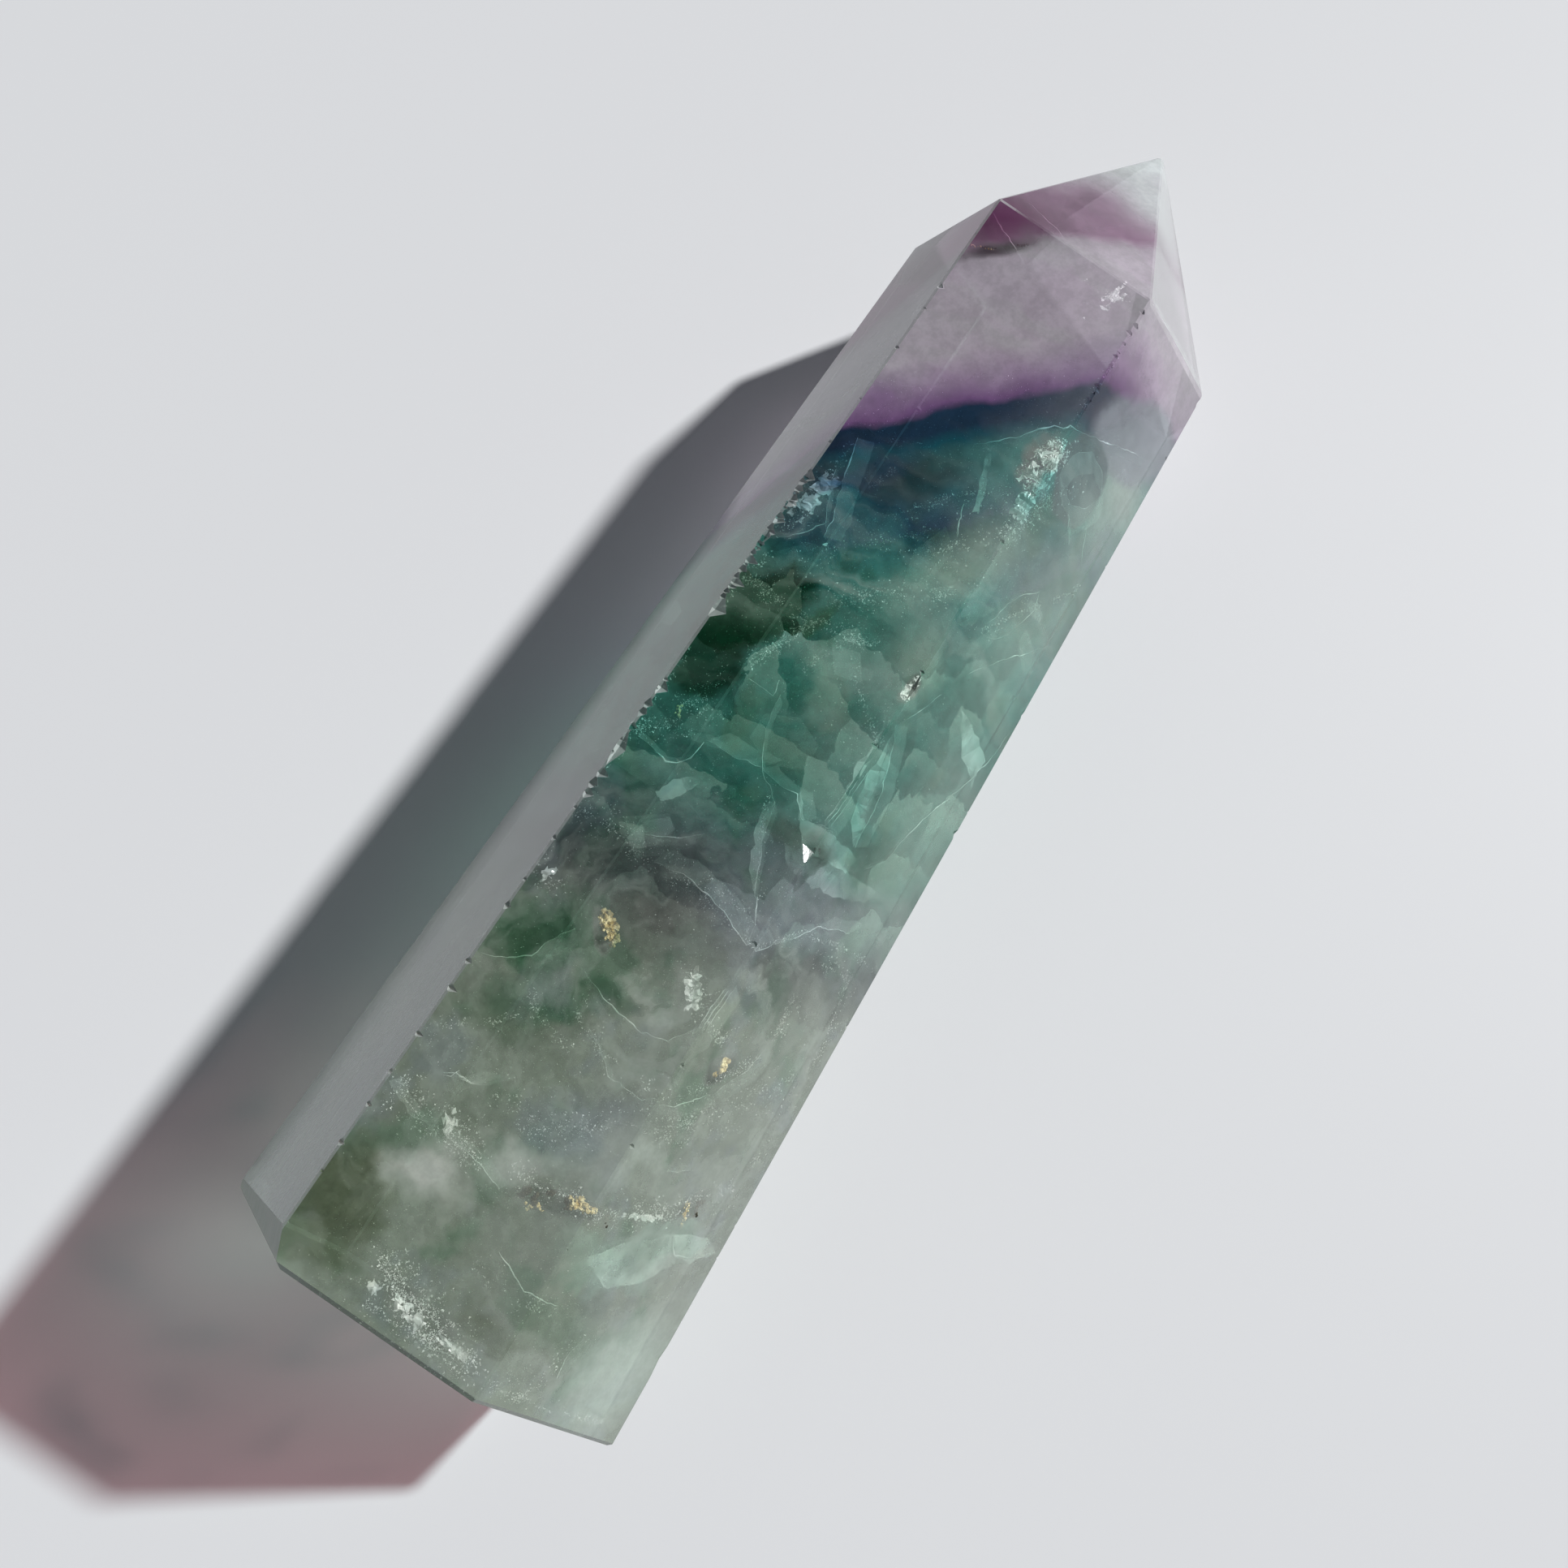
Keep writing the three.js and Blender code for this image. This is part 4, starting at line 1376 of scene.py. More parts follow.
VEILS: tuple[Veil, ...] = (
    # over the green patches
    Veil(((2.6, 7.1, 23.4), (2.2, 4.4, 23.4), (2.1, 1.4, 23.3), (2.6, -1.2, 23.2), (3.0, -3.4, 23.1)),
          0.5, 26, 0.13),
    Veil(((4.1, 1.5, 22.8), (5.7, -0.7, 22.7), (7.3, -3.1, 22.5), (8.3, -5.5, 22.4), (9.8, -6.4, 22.3)),
          0.8, 16, 0.14),
    # pale arch
    Veil(((-1.1, -0.1, 23.5), (1.2, -0.6, 23.3), (2.5, -1.5, 23.2), (2.8, -3.0, 23.2)), 0.3, 26, 0.12),
    Veil(((1.9, -2.3, 23.0), (0.2, -3.6, 23.1), (-1.3, -5.3, 23.2), (-2.7, -7.0, 23.2)), 0.3, 24, 0.12),
    Veil(((19.8, -7.0, 20.3), (15.8, -6.5, 21.6), (13.7, -6.3, 22.0), (12.7, -4.3, 22.1),
          (10.7, -3.2, 22.3)), 0.7, 18, 0.15),
    Veil(((18.0, -11.8, 12.5), (15.4, -11.0, 14.1), (12.5, -9.6, 16.8), (8.8, -8.2, 19.6)), 0.4, 16, 0.14),
    Veil(((-2.5, 3.3, 23.8), (-0.8, 2.5, 23.7), (1.4, 1.5, 23.6), (2.7, 0.3, 23.4)), 0.4, 36, 0.14),
    Veil(((-7.6, 5.9, 24.0), (-5.8, 4.6, 23.9), (-4.0, 3.8, 23.7)), 0.7, 18, 0.13),
    Veil(((-10.7, 7.2, 24.2), (-9.2, 6.5, 24.1), (-8.5, 4.6, 24.0)), 0.6, 16, 0.13),
    # smoky middle
    Veil(((-16.5, 7.5, 23.8), (-17.3, 4.0, 23.8), (-17.3, 1.4, 23.7), (-17.2, -1.6, 23.6),
          (-17.6, -4.0, 23.6), (-17.8, -6.4, 23.5)), 1.0, 11, 0.13),
    Veil(((-9.6, -2.7, 23.5), (-12.7, -4.0, 23.7), (-15.6, -5.6, 23.8), (-18.8, -6.8, 24.1)),
          0.3, 20, 0.13),
    Veil(((-18.8, -6.8, 24.1), (-15.9, -8.6, 20.6), (-14.9, -11.8, 14.9), (-15.0, -13.6, 11.8)),
          0.3, 18, 0.13),
    Veil(((-22.6, -5.2, 24.4), (-23.6, -6.1, 24.4), (-24.7, -7.1, 24.3), (-24.9, -8.2, 22.4)),
          0.6, 24, 0.15),
    # the great swirl
    Veil(((-27.4, 0.7, 24.3), (-28.8, -1.1, 24.3), (-30.0, -3.1, 24.4), (-30.4, -5.7, 24.3),
          (-29.0, -7.8, 22.5), (-26.0, -9.7, 19.0), (-22.7, -10.4, 17.5), (-19.6, -10.1, 17.6)),
          0.7, 15, 0.14),
    Veil(((-28.3, 3.9, 24.8), (-29.7, 2.4, 24.9), (-30.4, 0.7, 24.9), (-30.6, -1.3, 24.9)), 0.4, 20, 0.14),
    Veil(((-33.7, 7.1, 25.7), (-31.5, 4.1, 25.4), (-30.1, 3.1, 25.3)), 0.3, 18, 0.12),
    Veil(((-38.0, 7.4, 25.7), (-39.2, 4.5, 25.7), (-39.0, 2.0, 25.7), (-39.5, -0.3, 25.6)), 1.2, 14, 0.15),
    Veil(((-35.7, 2.1, 24.5), (-35.4, -1.6, 24.3), (-33.8, -5.3, 24.1), (-31.9, -7.1, 23.4),
          (-29.2, -9.9, 18.3), (-25.6, -12.1, 14.0), (-22.1, -12.5, 13.1)), 1.5, 8, 0.14),
    # stain line
    Veil(((-38.8, -1.8, 25.5), (-38.4, -5.1, 25.4), (-38.1, -7.9, 24.3), (-36.8, -10.1, 20.2),
          (-34.7, -12.2, 16.3), (-33.0, -13.3, 14.2)), 0.9, 14, 0.14),
    Veil(((-16.8, -9.9, 18.5), (-16.7, -12.6, 13.8), (-20.2, -13.2, 13.0), (-25.4, -13.6, 12.7),
          (-28.5, -13.8, 12.6), (-31.8, -13.6, 13.3)), 0.7, 9, 0.14),
    # foot
    Veil(((-47.2, 1.8, 26.3), (-48.1, -0.1, 26.3), (-48.2, -2.1, 26.2), (-48.9, -3.9, 26.2),
          (-49.7, -6.6, 26.2)), 1.0, 22, 0.16),
    Veil(((-50.2, 1.2, 26.5), (-50.0, -1.4, 26.5), (-49.8, -4.3, 26.4), (-49.7, -6.2, 26.3)),
          0.5, 26, 0.15),
    Veil(((-45.6, -10.4, 20.2), (-47.1, -9.7, 21.7), (-49.3, -9.7, 21.9), (-50.8, -8.8, 23.5)),
          0.4, 16, 0.14),
    Veil(((-44.8, -3.2, 25.8), (-44.8, -5.4, 25.7), (-45.0, -7.3, 25.7), (-44.3, -8.3, 23.9)),
          0.6, 16, 0.14),
    Veil(((-37.0, -1.2, 24.9), (-35.4, -2.7, 24.7), (-33.0, -6.1, 24.5), (-30.4, -8.8, 21.0)),
          0.8, 9, 0.14),
    Veil(((-50.0, -7.9, 26.5), (-50.7, -11.7, 19.4), (-50.9, -14.5, 14.4)), 0.3, 18, 0.14),
    # tip
    Veil(((34.5, -1.0, 21.2), (34.9, -4.2, 21.1), (34.5, -5.6, 21.1)), 0.6, 16, 0.15),
    Veil(((13.0, 3.9, 22.9), (13.0, 3.0, 22.9), (15.1, 2.2, 22.7)), 0.2, 20, 0.11),
    Veil(((16.5, 3.8, 22.7), (17.5, 1.9, 22.6), (17.6, 0.5, 22.5)), 0.2, 20, 0.11),
    Veil(((11.7, 0.6, 22.5), (13.6, -0.9, 22.4), (15.6, -2.4, 22.2), (17.6, -4.1, 22.1)), 0.4, 22, 0.12),
    Veil(((6.1, 4.9, 22.8), (7.7, 2.8, 22.6), (10.1, -0.3, 22.4), (12.1, -2.7, 22.2)), 1.0, 9, 0.12),
    Veil(((20.6, 7.2, 21.9), (24.8, 7.2, 21.5), (29.0, 6.9, 21.7), (31.0, 6.7, 22.1)), 0.3, 12, 0.11),
)


@dataclass
class HealedVeils(CrumbPile):
    """Every veil's grains, denser along streaks that follow its course.

    Attributes:
        dip: how far a veil bends down towards its sides, as a share of its half width.
        fade: spread of the grains to both sides, as a share of the half width.
        reach: widths over which the grains are counted.
        sink_mm: how deep grains lie under the veil at most.
        streak_mm: length of a streak.
        streaks: streaks across the half width.
        patch_share: what patches without grains count for beside the streaks.
        patch_per_mm: number of such patches per millimetre.
        gaps: least and largest noise that a grain needs.
        plenty: how many times over the grains are tried.
        swell: what the grains' sizes are multiplied by.
        size_share: least and largest grain, as a share of the veil's size.
    """

    dip: float = 0.5
    fade: float = 0.6
    reach: float = 3.0
    sink_mm: float = 0.4
    streak_mm: float = 2.6
    streaks: float = 2.2
    patch_share: float = 0.7
    patch_per_mm: float = 0.9
    gaps: Pair = (-0.35, 0.5)
    plenty: float = 3.0
    swell: float = 1.3
    size_share: Pair = (0.4, 1.2)

    def build(self) -> bpy.types.Object:
        """Scatters the grains of every veil."""
        for veil in VEILS:
            for start, end in zip(veil.path, veil.path[1:]):
                self._strew(veil, Vector(start), Vector(end))
        return self.finish_pile()

    def _strew(self, veil: Veil, start: Vector, end: Vector) -> None:
        """Scatters the grains along one stretch of a veil.

        Args:
            veil: the veil.
            start: where the stretch starts.
            end: where it ends.
        """
        run = end - start
        across = run.cross(Vector(Z_AXIS)).normalized()
        count = int(self.plenty * veil.per_mm2 * run.length * veil.width_mm * self.reach)
        for _ in range(count):
            along, aside = self.rng.random(), self.rng.gauss(0, self.fade)
            place = start.lerp(end, along) + across * aside * veil.width_mm
            bend = self.dip * veil.width_mm * aside * aside
            place.z -= bend + self.rng.random() * self.sink_mm
            streak = Vector((along * run.length / self.streak_mm, aside * self.streaks, start.x))
            patch = noise.noise(place * self.patch_per_mm) * self.patch_share
            if noise.noise(streak) + patch > self.rng.uniform(*self.gaps):
                share = self.rng.uniform(*self.size_share)
                self.drop(place, self.swell * veil.grain_mm * share)


@dataclass(frozen=True)
class Stain:
    """A pocket of dirt.

    Attributes:
        centre: its middle.
        half: half its length and width.
        turn: its turn about +Z, in degrees.
        count: number of grains.
        size_mm: size of a grain.
    """

    centre: Point
    half: Pair
    turn: float
    count: int
    size_mm: float


RUST: tuple[Stain, ...] = (
    Stain((-22.7, 1.2, 25.3), (1.3, 0.5), -129, 190, 0.34),
    Stain((-26.3, -9.4, 22.2), (0.8, 0.4), 162, 90, 0.34),
    Stain((-7.9, 5.4, 24.6), (0.5, 0.25), 0, 24, 0.2),
    Stain((-38.15, -6.7, 26.3), (0.6, 0.5), -72, 70, 0.3),
    Stain((-38.05, -7.6, 26.1), (0.8, 0.3), -81, 40, 0.24),
    Stain((-39.7, -4.5, 26.5), (0.6, 0.3), -72, 24, 0.24),
    Stain((-36.1, -12.2, 18.1), (1.0, 0.3), 30, 60, 0.24),
    Stain((33.0, 6.0, 22.2), (1.1, 0.1), -74, 26, 0.14),
)
SPECKS: tuple[Stain, ...] = (
    Stain((-39.2, -3.6, 26.6), (0.5, 0.25), -40, 44, 0.34),
    Stain((-39.4, -4.4, 26.6), (0.5, 0.2), 10, 44, 0.32),
    Stain((-38.4, -5.1, 26.5), (0.35, 0.16), -72, 28, 0.28),
    Stain((-38.4, -6.15, 26.5), (0.4, 0.14), 20, 28, 0.28),
    Stain((-38.2, -8.55, 24.9), (0.5, 0.18), 20, 36, 0.3),
    Stain((-34.8, -12.7, 17.25), (0.45, 0.16), -72, 32, 0.28),
    Stain((-35.5, -12.6, 17.45), (0.6, 0.16), 30, 38, 0.28),
    Stain((-22.9, 1.6, 25.7), (0.35, 0.12), -129, 10, 0.14),
    Stain((34.8, 3.3, 22.1), (0.5, 0.12), -60, 26, 0.15),
    Stain((35.2, 2.1, 22.05), (0.3, 0.1), -60, 12, 0.13),
    Stain((33.6, 4.9, 22.2), (1.3, 0.07), -60, 22, 0.11),
    Stain((36.7, -2.4, 21.6), (0.05, 0.05), 0, 3, 0.14),
    Stain((35.3, -6.2, 21.9), (0.05, 0.05), 0, 3, 0.12),
    Stain((43.6, -3.5, 16.8), (0.05, 0.05), 0, 3, 0.11),
    Stain((39.0, -4.9, 19.7), (0.05, 0.05), 0, 3, 0.12),
    Stain((-11.0, -7.2, 23.6), (0.25, 0.16), 20, 10, 0.16),
    Stain((-23.3, 5.8, 25.0), (0.15, 0.1), 0, 8, 0.16),
    Stain((5.5, -9.3, 18.9), (0.05, 0.05), 0, 2, 0.12),
    Stain((45.5, 0.2, 15.4), (0.9, 0.07), -33, 12, 0.12),
    Stain((38.8, -3.0, 19.8), (0.25, 0.05), -60, 5, 0.11),
    Stain((25.4, 9.0, 18.6), (2.0, 0.1), 3, 20, 0.11),
)


@dataclass
class DirtPockets(CrumbPile):
    """Grains of dirt in small pockets.

    Attributes:
        pockets: the pockets.
        depth_mm: how thick a pocket is.
        crowding: power that crowds grains at a pocket's middle where it is high.
        ragged_mm: width from which a pocket's edge wanders no further.
        ragged_per_mm: how fast the edge wanders.
        ragged_share: what the noise that moves it is multiplied by.
        size_share: least and largest grain, as a share of the pocket's size.
    """

    pockets: tuple[Stain, ...] = ()
    depth_mm: float = 0.35
    crowding: float = 0.6
    ragged_mm: float = 0.6
    ragged_per_mm: float = 2.0
    ragged_share: float = 0.4
    size_share: Pair = (0.5, 1.3)

    def build(self) -> bpy.types.Object:
        """Fills every pocket with grains."""
        for pocket in self.pockets:
            turn = Matrix.Rotation(math.radians(pocket.turn), 3, "Z")
            for _ in range(pocket.count):
                turned, reach = self.rng.uniform(0, math.tau), self.rng.random() ** self.crowding
                along = pocket.half[0] * reach * math.cos(turned)
                aside = pocket.half[1] * reach * math.sin(turned)
                height = self.rng.uniform(-self.depth_mm, self.depth_mm) / 2
                offset = Vector((along, aside, height))
                shake = noise.noise_vector(offset * self.ragged_per_mm) * self.ragged_share
                offset += shake * min(self.ragged_mm, pocket.half[1] * 2)
                place = Vector(pocket.centre) + turn @ offset
                self.drop(place, pocket.size_mm * self.rng.uniform(*self.size_share))
        return self.finish_pile()


# Outlines of torn cleavage steps.
LEDGES: tuple[Course, ...] = (
    # torn ledges under the middle
    ((-8.2, -4.3, 23.0), (-9.8, -5.6, 23.1), (-9.5, -7.0, 23.0), (-9.6, -7.4, 21.5), (-9.5, -8.5, 19.6),
     (-9.6, -9.7, 17.5), (-10.9, -8.7, 19.5), (-11.2, -7.3, 22.0), (-11.5, -6.5, 23.1),
     (-9.7, -5.1, 23.1)),
    ((-11.8, -5.0, 22.4), (-11.5, -7.0, 22.3), (-11.0, -7.1, 21.0), (-10.7, -8.5, 18.5),
     (-10.5, -9.8, 16.1), (-10.3, -11.1, 13.7), (-11.6, -10.2, 15.5), (-12.5, -8.9, 17.9),
     (-13.2, -7.2, 21.0), (-13.1, -6.4, 22.5)),
    # pale lozenge
    ((-13.5, 3.7, 24.3), (-12.1, 3.2, 24.2), (-10.8, 1.5, 24.1), (-12.0, 1.8, 24.2), (-13.3, 2.5, 24.3),
     (-13.8, 3.1, 24.3)),
    # narrow blade
    ((3.6, -9.8, 17.8), (3.5, -10.9, 16.0), (2.5, -12.9, 12.5), (1.4, -12.8, 12.7), (0.1, -13.1, 12.3),
     (1.6, -11.2, 15.6)),
    # blades across the right face
    ((-9.2, -8.1, 19.4), (-7.9, -8.1, 19.4), (-6.1, -8.0, 19.5), (-3.6, -7.4, 20.2), (-0.7, -6.4, 21.8),
     (-1.6, -6.9, 22.1), (-5.0, -6.6, 21.7), (-7.9, -7.1, 21.1)),
    ((-9.7, -3.3, 22.6), (-12.1, -3.8, 22.8), (-14.5, -4.9, 22.9), (-15.8, -5.5, 22.9),
     (-14.5, -4.2, 22.9), (-11.9, -3.1, 22.8), (-9.9, -2.6, 22.7)),
    ((20.4, -2.6, 21.2), (18.2, -3.4, 21.3), (15.5, -4.3, 21.4), (15.3, -3.9, 21.4), (18.0, -3.0, 21.3),
     (20.0, -2.3, 21.2)),
    # jade block near the foot
    ((-41.0, -7.6, 23.1), (-37.7, -11.1, 16.7), (-39.4, -12.2, 14.9), (-41.4, -11.2, 16.9),
     (-42.7, -9.4, 20.1)),
    ((-37.6, -11.5, 16.8), (-37.0, -13.4, 13.5), (-37.8, -14.5, 11.6), (-39.0, -13.3, 13.8),
     (-39.1, -12.3, 15.5)),
)


@dataclass
class CleavageSteps(Enclosed):
    """Flat steps of the cleavage, torn along their edges.

    Attributes:
        thickness_mm: thickness of a step.
        tear_cuts: corners that tearing adds to each side of an outline.
        tear: how far it moves them, as a share of the side.
    """

    thickness_mm: float = 0.05
    tear_cuts: int = 4
    tear: float = 0.35

    def build(self) -> bpy.types.Object:
        """Cuts every step from its outline."""
        shape = bmesh.new()
        for number, outline in enumerate(LEDGES):
            corners = [shape.verts.new(corner) for corner in outline]
            face = shape.faces.new(corners)
            bmesh.ops.subdivide_edges(
                shape,
                edges=list(face.edges),
                cuts=self.tear_cuts,
                fractal=self.tear,
                along_normal=0.0,
                seed=self.seed + number,
            )
        for corner in shape.verts:
            corner.co = self.tower.tucked(corner.co, self.margin_mm)
        bmesh.ops.triangulate(shape, faces=shape.faces)
        bmesh.ops.recalc_face_normals(shape, faces=shape.faces)
        bmesh.ops.solidify(shape, geom=shape.faces, thickness=self.thickness_mm)
        return self.place(shape)


@dataclass(frozen=True)
class Crumple:
    """A crumpled inner break.

    Attributes:
        start: where it starts.
        end: where it ends.
        width_mm: its width.
        relief_mm: height of its folds.
    """

    start: Point
    end: Point
    width_mm: float
    relief_mm: float


CRUMPLES: tuple[Crumple, ...] = (
    # white break under the bright end of the blue band
    Crumple((18.2, -6.2, 22.0), (22.8, -6.3, 22.0), 1.5, 0.5),
    Crumple((16.4, -6.6, 21.4), (18.6, -6.4, 21.9), 0.9, 0.35),
    # by the long edge
    Crumple((7.6, 6.3, 23.5), (12.6, 5.5, 23.4), 1.3, 0.22),
    # bright glint
    Crumple((0.7, -6.7, 23.6), (2.6, -6.8, 23.5), 0.35, 0.2),
    # in the swirl
    Crumple((-21.9, -4.6, 24.5), (-24.4, -6.2, 24.5), 1.0, 0.35),
    Crumple((-22.6, 7.0, 25.0), (-21.2, 6.6, 24.9), 0.6, 0.25),
    Crumple((-37.6, 3.6, 25.8), (-39.0, 2.2, 25.8), 0.9, 0.3),
    # beside the shoulder
    Crumple((33.4, -3.6, 21.2), (36.4, -4.6, 20.4), 0.8, 0.3),
    # wrinkles by the foot
    Crumple((-48.6, 2.4, 26.6), (-49.2, 0.4, 26.6), 0.7, 0.3),
    Crumple((-48.8, -0.2, 26.6), (-49.4, -3.2, 26.5), 0.8, 0.35),
    Crumple((-49.2, -3.6, 26.5), (-49.4, -6.2, 26.3), 0.5, 0.3),
    Crumple((-37.6, -8.8, 23.0), (-36.9, -11.0, 19.2), 0.4, 0.25),
)


@dataclass
class CrumpledBreaks(Enclosed):
    """Crumpled inner breaks, whose small facets catch the sun.

    Attributes:
        cell_mm: size of a facet.
        fewest: least number of facets along a side.
        thickness_mm: thickness of the break.
        folds_per_mm: how fast the large and the small folds follow each other.
        fold_share: height of the small folds, as a share of the large ones.
        holes_per_mm: number of torn holes per millimetre.
        hole: noise below which the middle is torn.
        fraying: how much sooner the ends are torn.
        longest_mm: perimeter past which a stretched facet is left out.
    """

    cell_mm: float = 0.16
    fewest: int = 4
    thickness_mm: float = 0.03
    folds_per_mm: Pair = (2.2, 5.0)
    fold_share: float = 0.6
    holes_per_mm: float = 1.6
    hole: float = -0.32
    fraying: float = 0.7
    longest_mm: float = 1.6

    def build(self) -> bpy.types.Object:
        """Crumples every break."""
        shape = bmesh.new()
        for crumple in CRUMPLES:
            self._crumple(shape, crumple)
        sheets = {"geom": list(shape.faces), "use_keep_orig": True}
        backs = bmesh.ops.extrude_face_region(shape, **sheets)["geom"]
        corners = [part for part in backs if isinstance(part, bmesh.types.BMVert)]
        bmesh.ops.translate(shape, verts=corners, vec=(0, 0, -self.thickness_mm))
        bmesh.ops.recalc_face_normals(shape, faces=shape.faces)
        return self.place(shape)

    def _crumple(self, shape: bmesh.types.BMesh, crumple: Crumple) -> None:
        """Adds one crumpled break to a shape.

        Args:
            shape: the shape.
            crumple: the break.
        """
        start, end = Vector(crumple.start), Vector(crumple.end)
        run = end - start
        across = run.cross(Vector(Z_AXIS)).normalized()
        up = across.cross(run).normalized()
        matrix = Matrix((run.normalized(), across, up)).transposed().to_4x4()
        half = Matrix.Diagonal((run.length / 2, crumple.width_mm / 2, 1, 1))
        sheet = bmesh.ops.create_grid(
            shape,
            x_segments=max(self.fewest, round(run.length / self.cell_mm)),
            y_segments=max(self.fewest, round(crumple.width_mm / self.cell_mm)),
            size=1.0,
            matrix=Matrix.Translation((start + end) / 2) @ matrix @ half,
        )["verts"]
        large, small = self.folds_per_mm
        for corner in sheet:
            shake = noise.noise_vector(corner.co * large)
            shake += noise.noise_vector(corner.co * small) * self.fold_share
            corner.co += shake * crumple.relief_mm
            corner.co = self.tower.tucked(corner.co, self.margin_mm)
        faces = {face for corner in sheet for face in corner.link_faces}
        torn = []
        for face in sorted(faces, key=lambda face: face.index):
            middle = face.calc_center_median()
            far = (middle - (start + end) / 2).length / (run.length / 2)
            holed = noise.noise(middle * self.holes_per_mm) < self.hole + self.fraying * far**3
            if holed or face.calc_perimeter() > self.longest_mm:
                torn.append(face)
        bmesh.ops.delete(shape, geom=torn, context="FACES")


@dataclass
class InnerDust(CrumbPile):
    """Fine pale dust right through the stone, in drifts.

    Attributes:
        count: grains tried.
        low: lowest corner of the dusty part.
        high: highest corner of the dusty part.
        size_mm: least and largest grain.
        drift_mm: size of a drift.
        wisps_per_mm: how fast the wisps in a drift follow each other.
        wisp_share: what they count for beside the drifts.
        gaps: least and largest noise that a grain needs.
    """

    count: int = 50000
    low: Point = (-53, -9, 8)
    high: Point = (30, 8, 27)
    size_mm: Pair = (0.05, 0.14)
    drift_mm: float = 4.0
    wisps_per_mm: float = 0.9
    wisp_share: float = 0.6
    gaps: Pair = (0.0, 0.6)

    def build(self) -> bpy.types.Object:
        """Scatters the dust."""
        for _ in range(self.count):
            place = Vector(self.rng.uniform(a, b) for a, b in zip(self.low, self.high))
            wisp = self.wisp_share * noise.noise(place * self.wisps_per_mm)
            if noise.noise(place / self.drift_mm) + wisp > self.rng.uniform(*self.gaps):
                self.drop(place, self.rng.uniform(*self.size_mm))
        return self.finish_pile()


@dataclass
class CleavagePlanes(Enclosed):
    """Small flat cracks along the four cleavage directions, through the middle of the stone.

    Attributes:
        count: number of cracks tried.
        low: lowest corner of the cracked part.
        high: highest corner of the cracked part.
        radius_mm: least and largest radius of a crack.
        width_share: least and largest width of a crack, as a share of its length.
        corners: numbers of corners a crack may have, the usual one twice.
        depth_mm: least depth of its four ends.
        thickness_mm: thickness of a crack.
        turn: turn of the crystal about its growth direction, in degrees.
    """

    count: int = 60
    low: Point = (-17, -13, 6)
    high: Point = (24, 11, 24)
    radius_mm: Pair = (1.0, 3.4)
    width_share: Pair = (0.35, 0.8)
    corners: tuple[int, ...] = (4, 5, 5, 6)
    depth_mm: float = 0.4
    thickness_mm: float = 0.03
    turn: float = 25.0

    def build(self) -> bpy.types.Object:
        """Adds the cracks that fit in the stone."""
        shape = bmesh.new()
        directions = self._directions()
        for _ in range(self.count):
            centre = Vector(self.rng.uniform(a, b) for a, b in zip(self.low, self.high))
            radius = self.rng.uniform(*self.radius_mm)
            turn = self.rng.choice(directions).to_track_quat("Z", "X").to_matrix().to_4x4()
            spin = Matrix.Rotation(self.rng.uniform(0, math.tau), 4, "Z")
            slim = Matrix.Diagonal((radius, radius * self.rng.uniform(*self.width_share), 1, 1))
            matrix = Matrix.Translation(centre) @ turn @ spin @ slim
            ends = [matrix @ Vector((x, y, 0)) for x, y in ((1, 0), (0, 1), (-1, 0), (0, -1))]
            if all(self.tower.holds(end, self.depth_mm) for end in ends):
                bmesh.ops.create_circle(
                    shape,
                    cap_ends=True,
                    segments=self.rng.choice(self.corners),
                    radius=1.0,
                    matrix=matrix,
                )
        bmesh.ops.solidify(shape, geom=shape.faces, thickness=self.thickness_mm)
        return self.place(shape)

    def _directions(self) -> list[Vector]:
        """Normals of the octahedral cleavage, from the cube face of the growth zones."""
        first = Vector(GROWTH_NORMAL).normalized()
        second = Matrix.Rotation(math.radians(self.turn), 3, first) @ first.orthogonal()
        second.normalize()
        third = first.cross(second)
        signs = ((1, 1), (1, -1), (-1, 1), (-1, -1))
        return [(first + second * a + third * b).normalized() for a, b in signs]


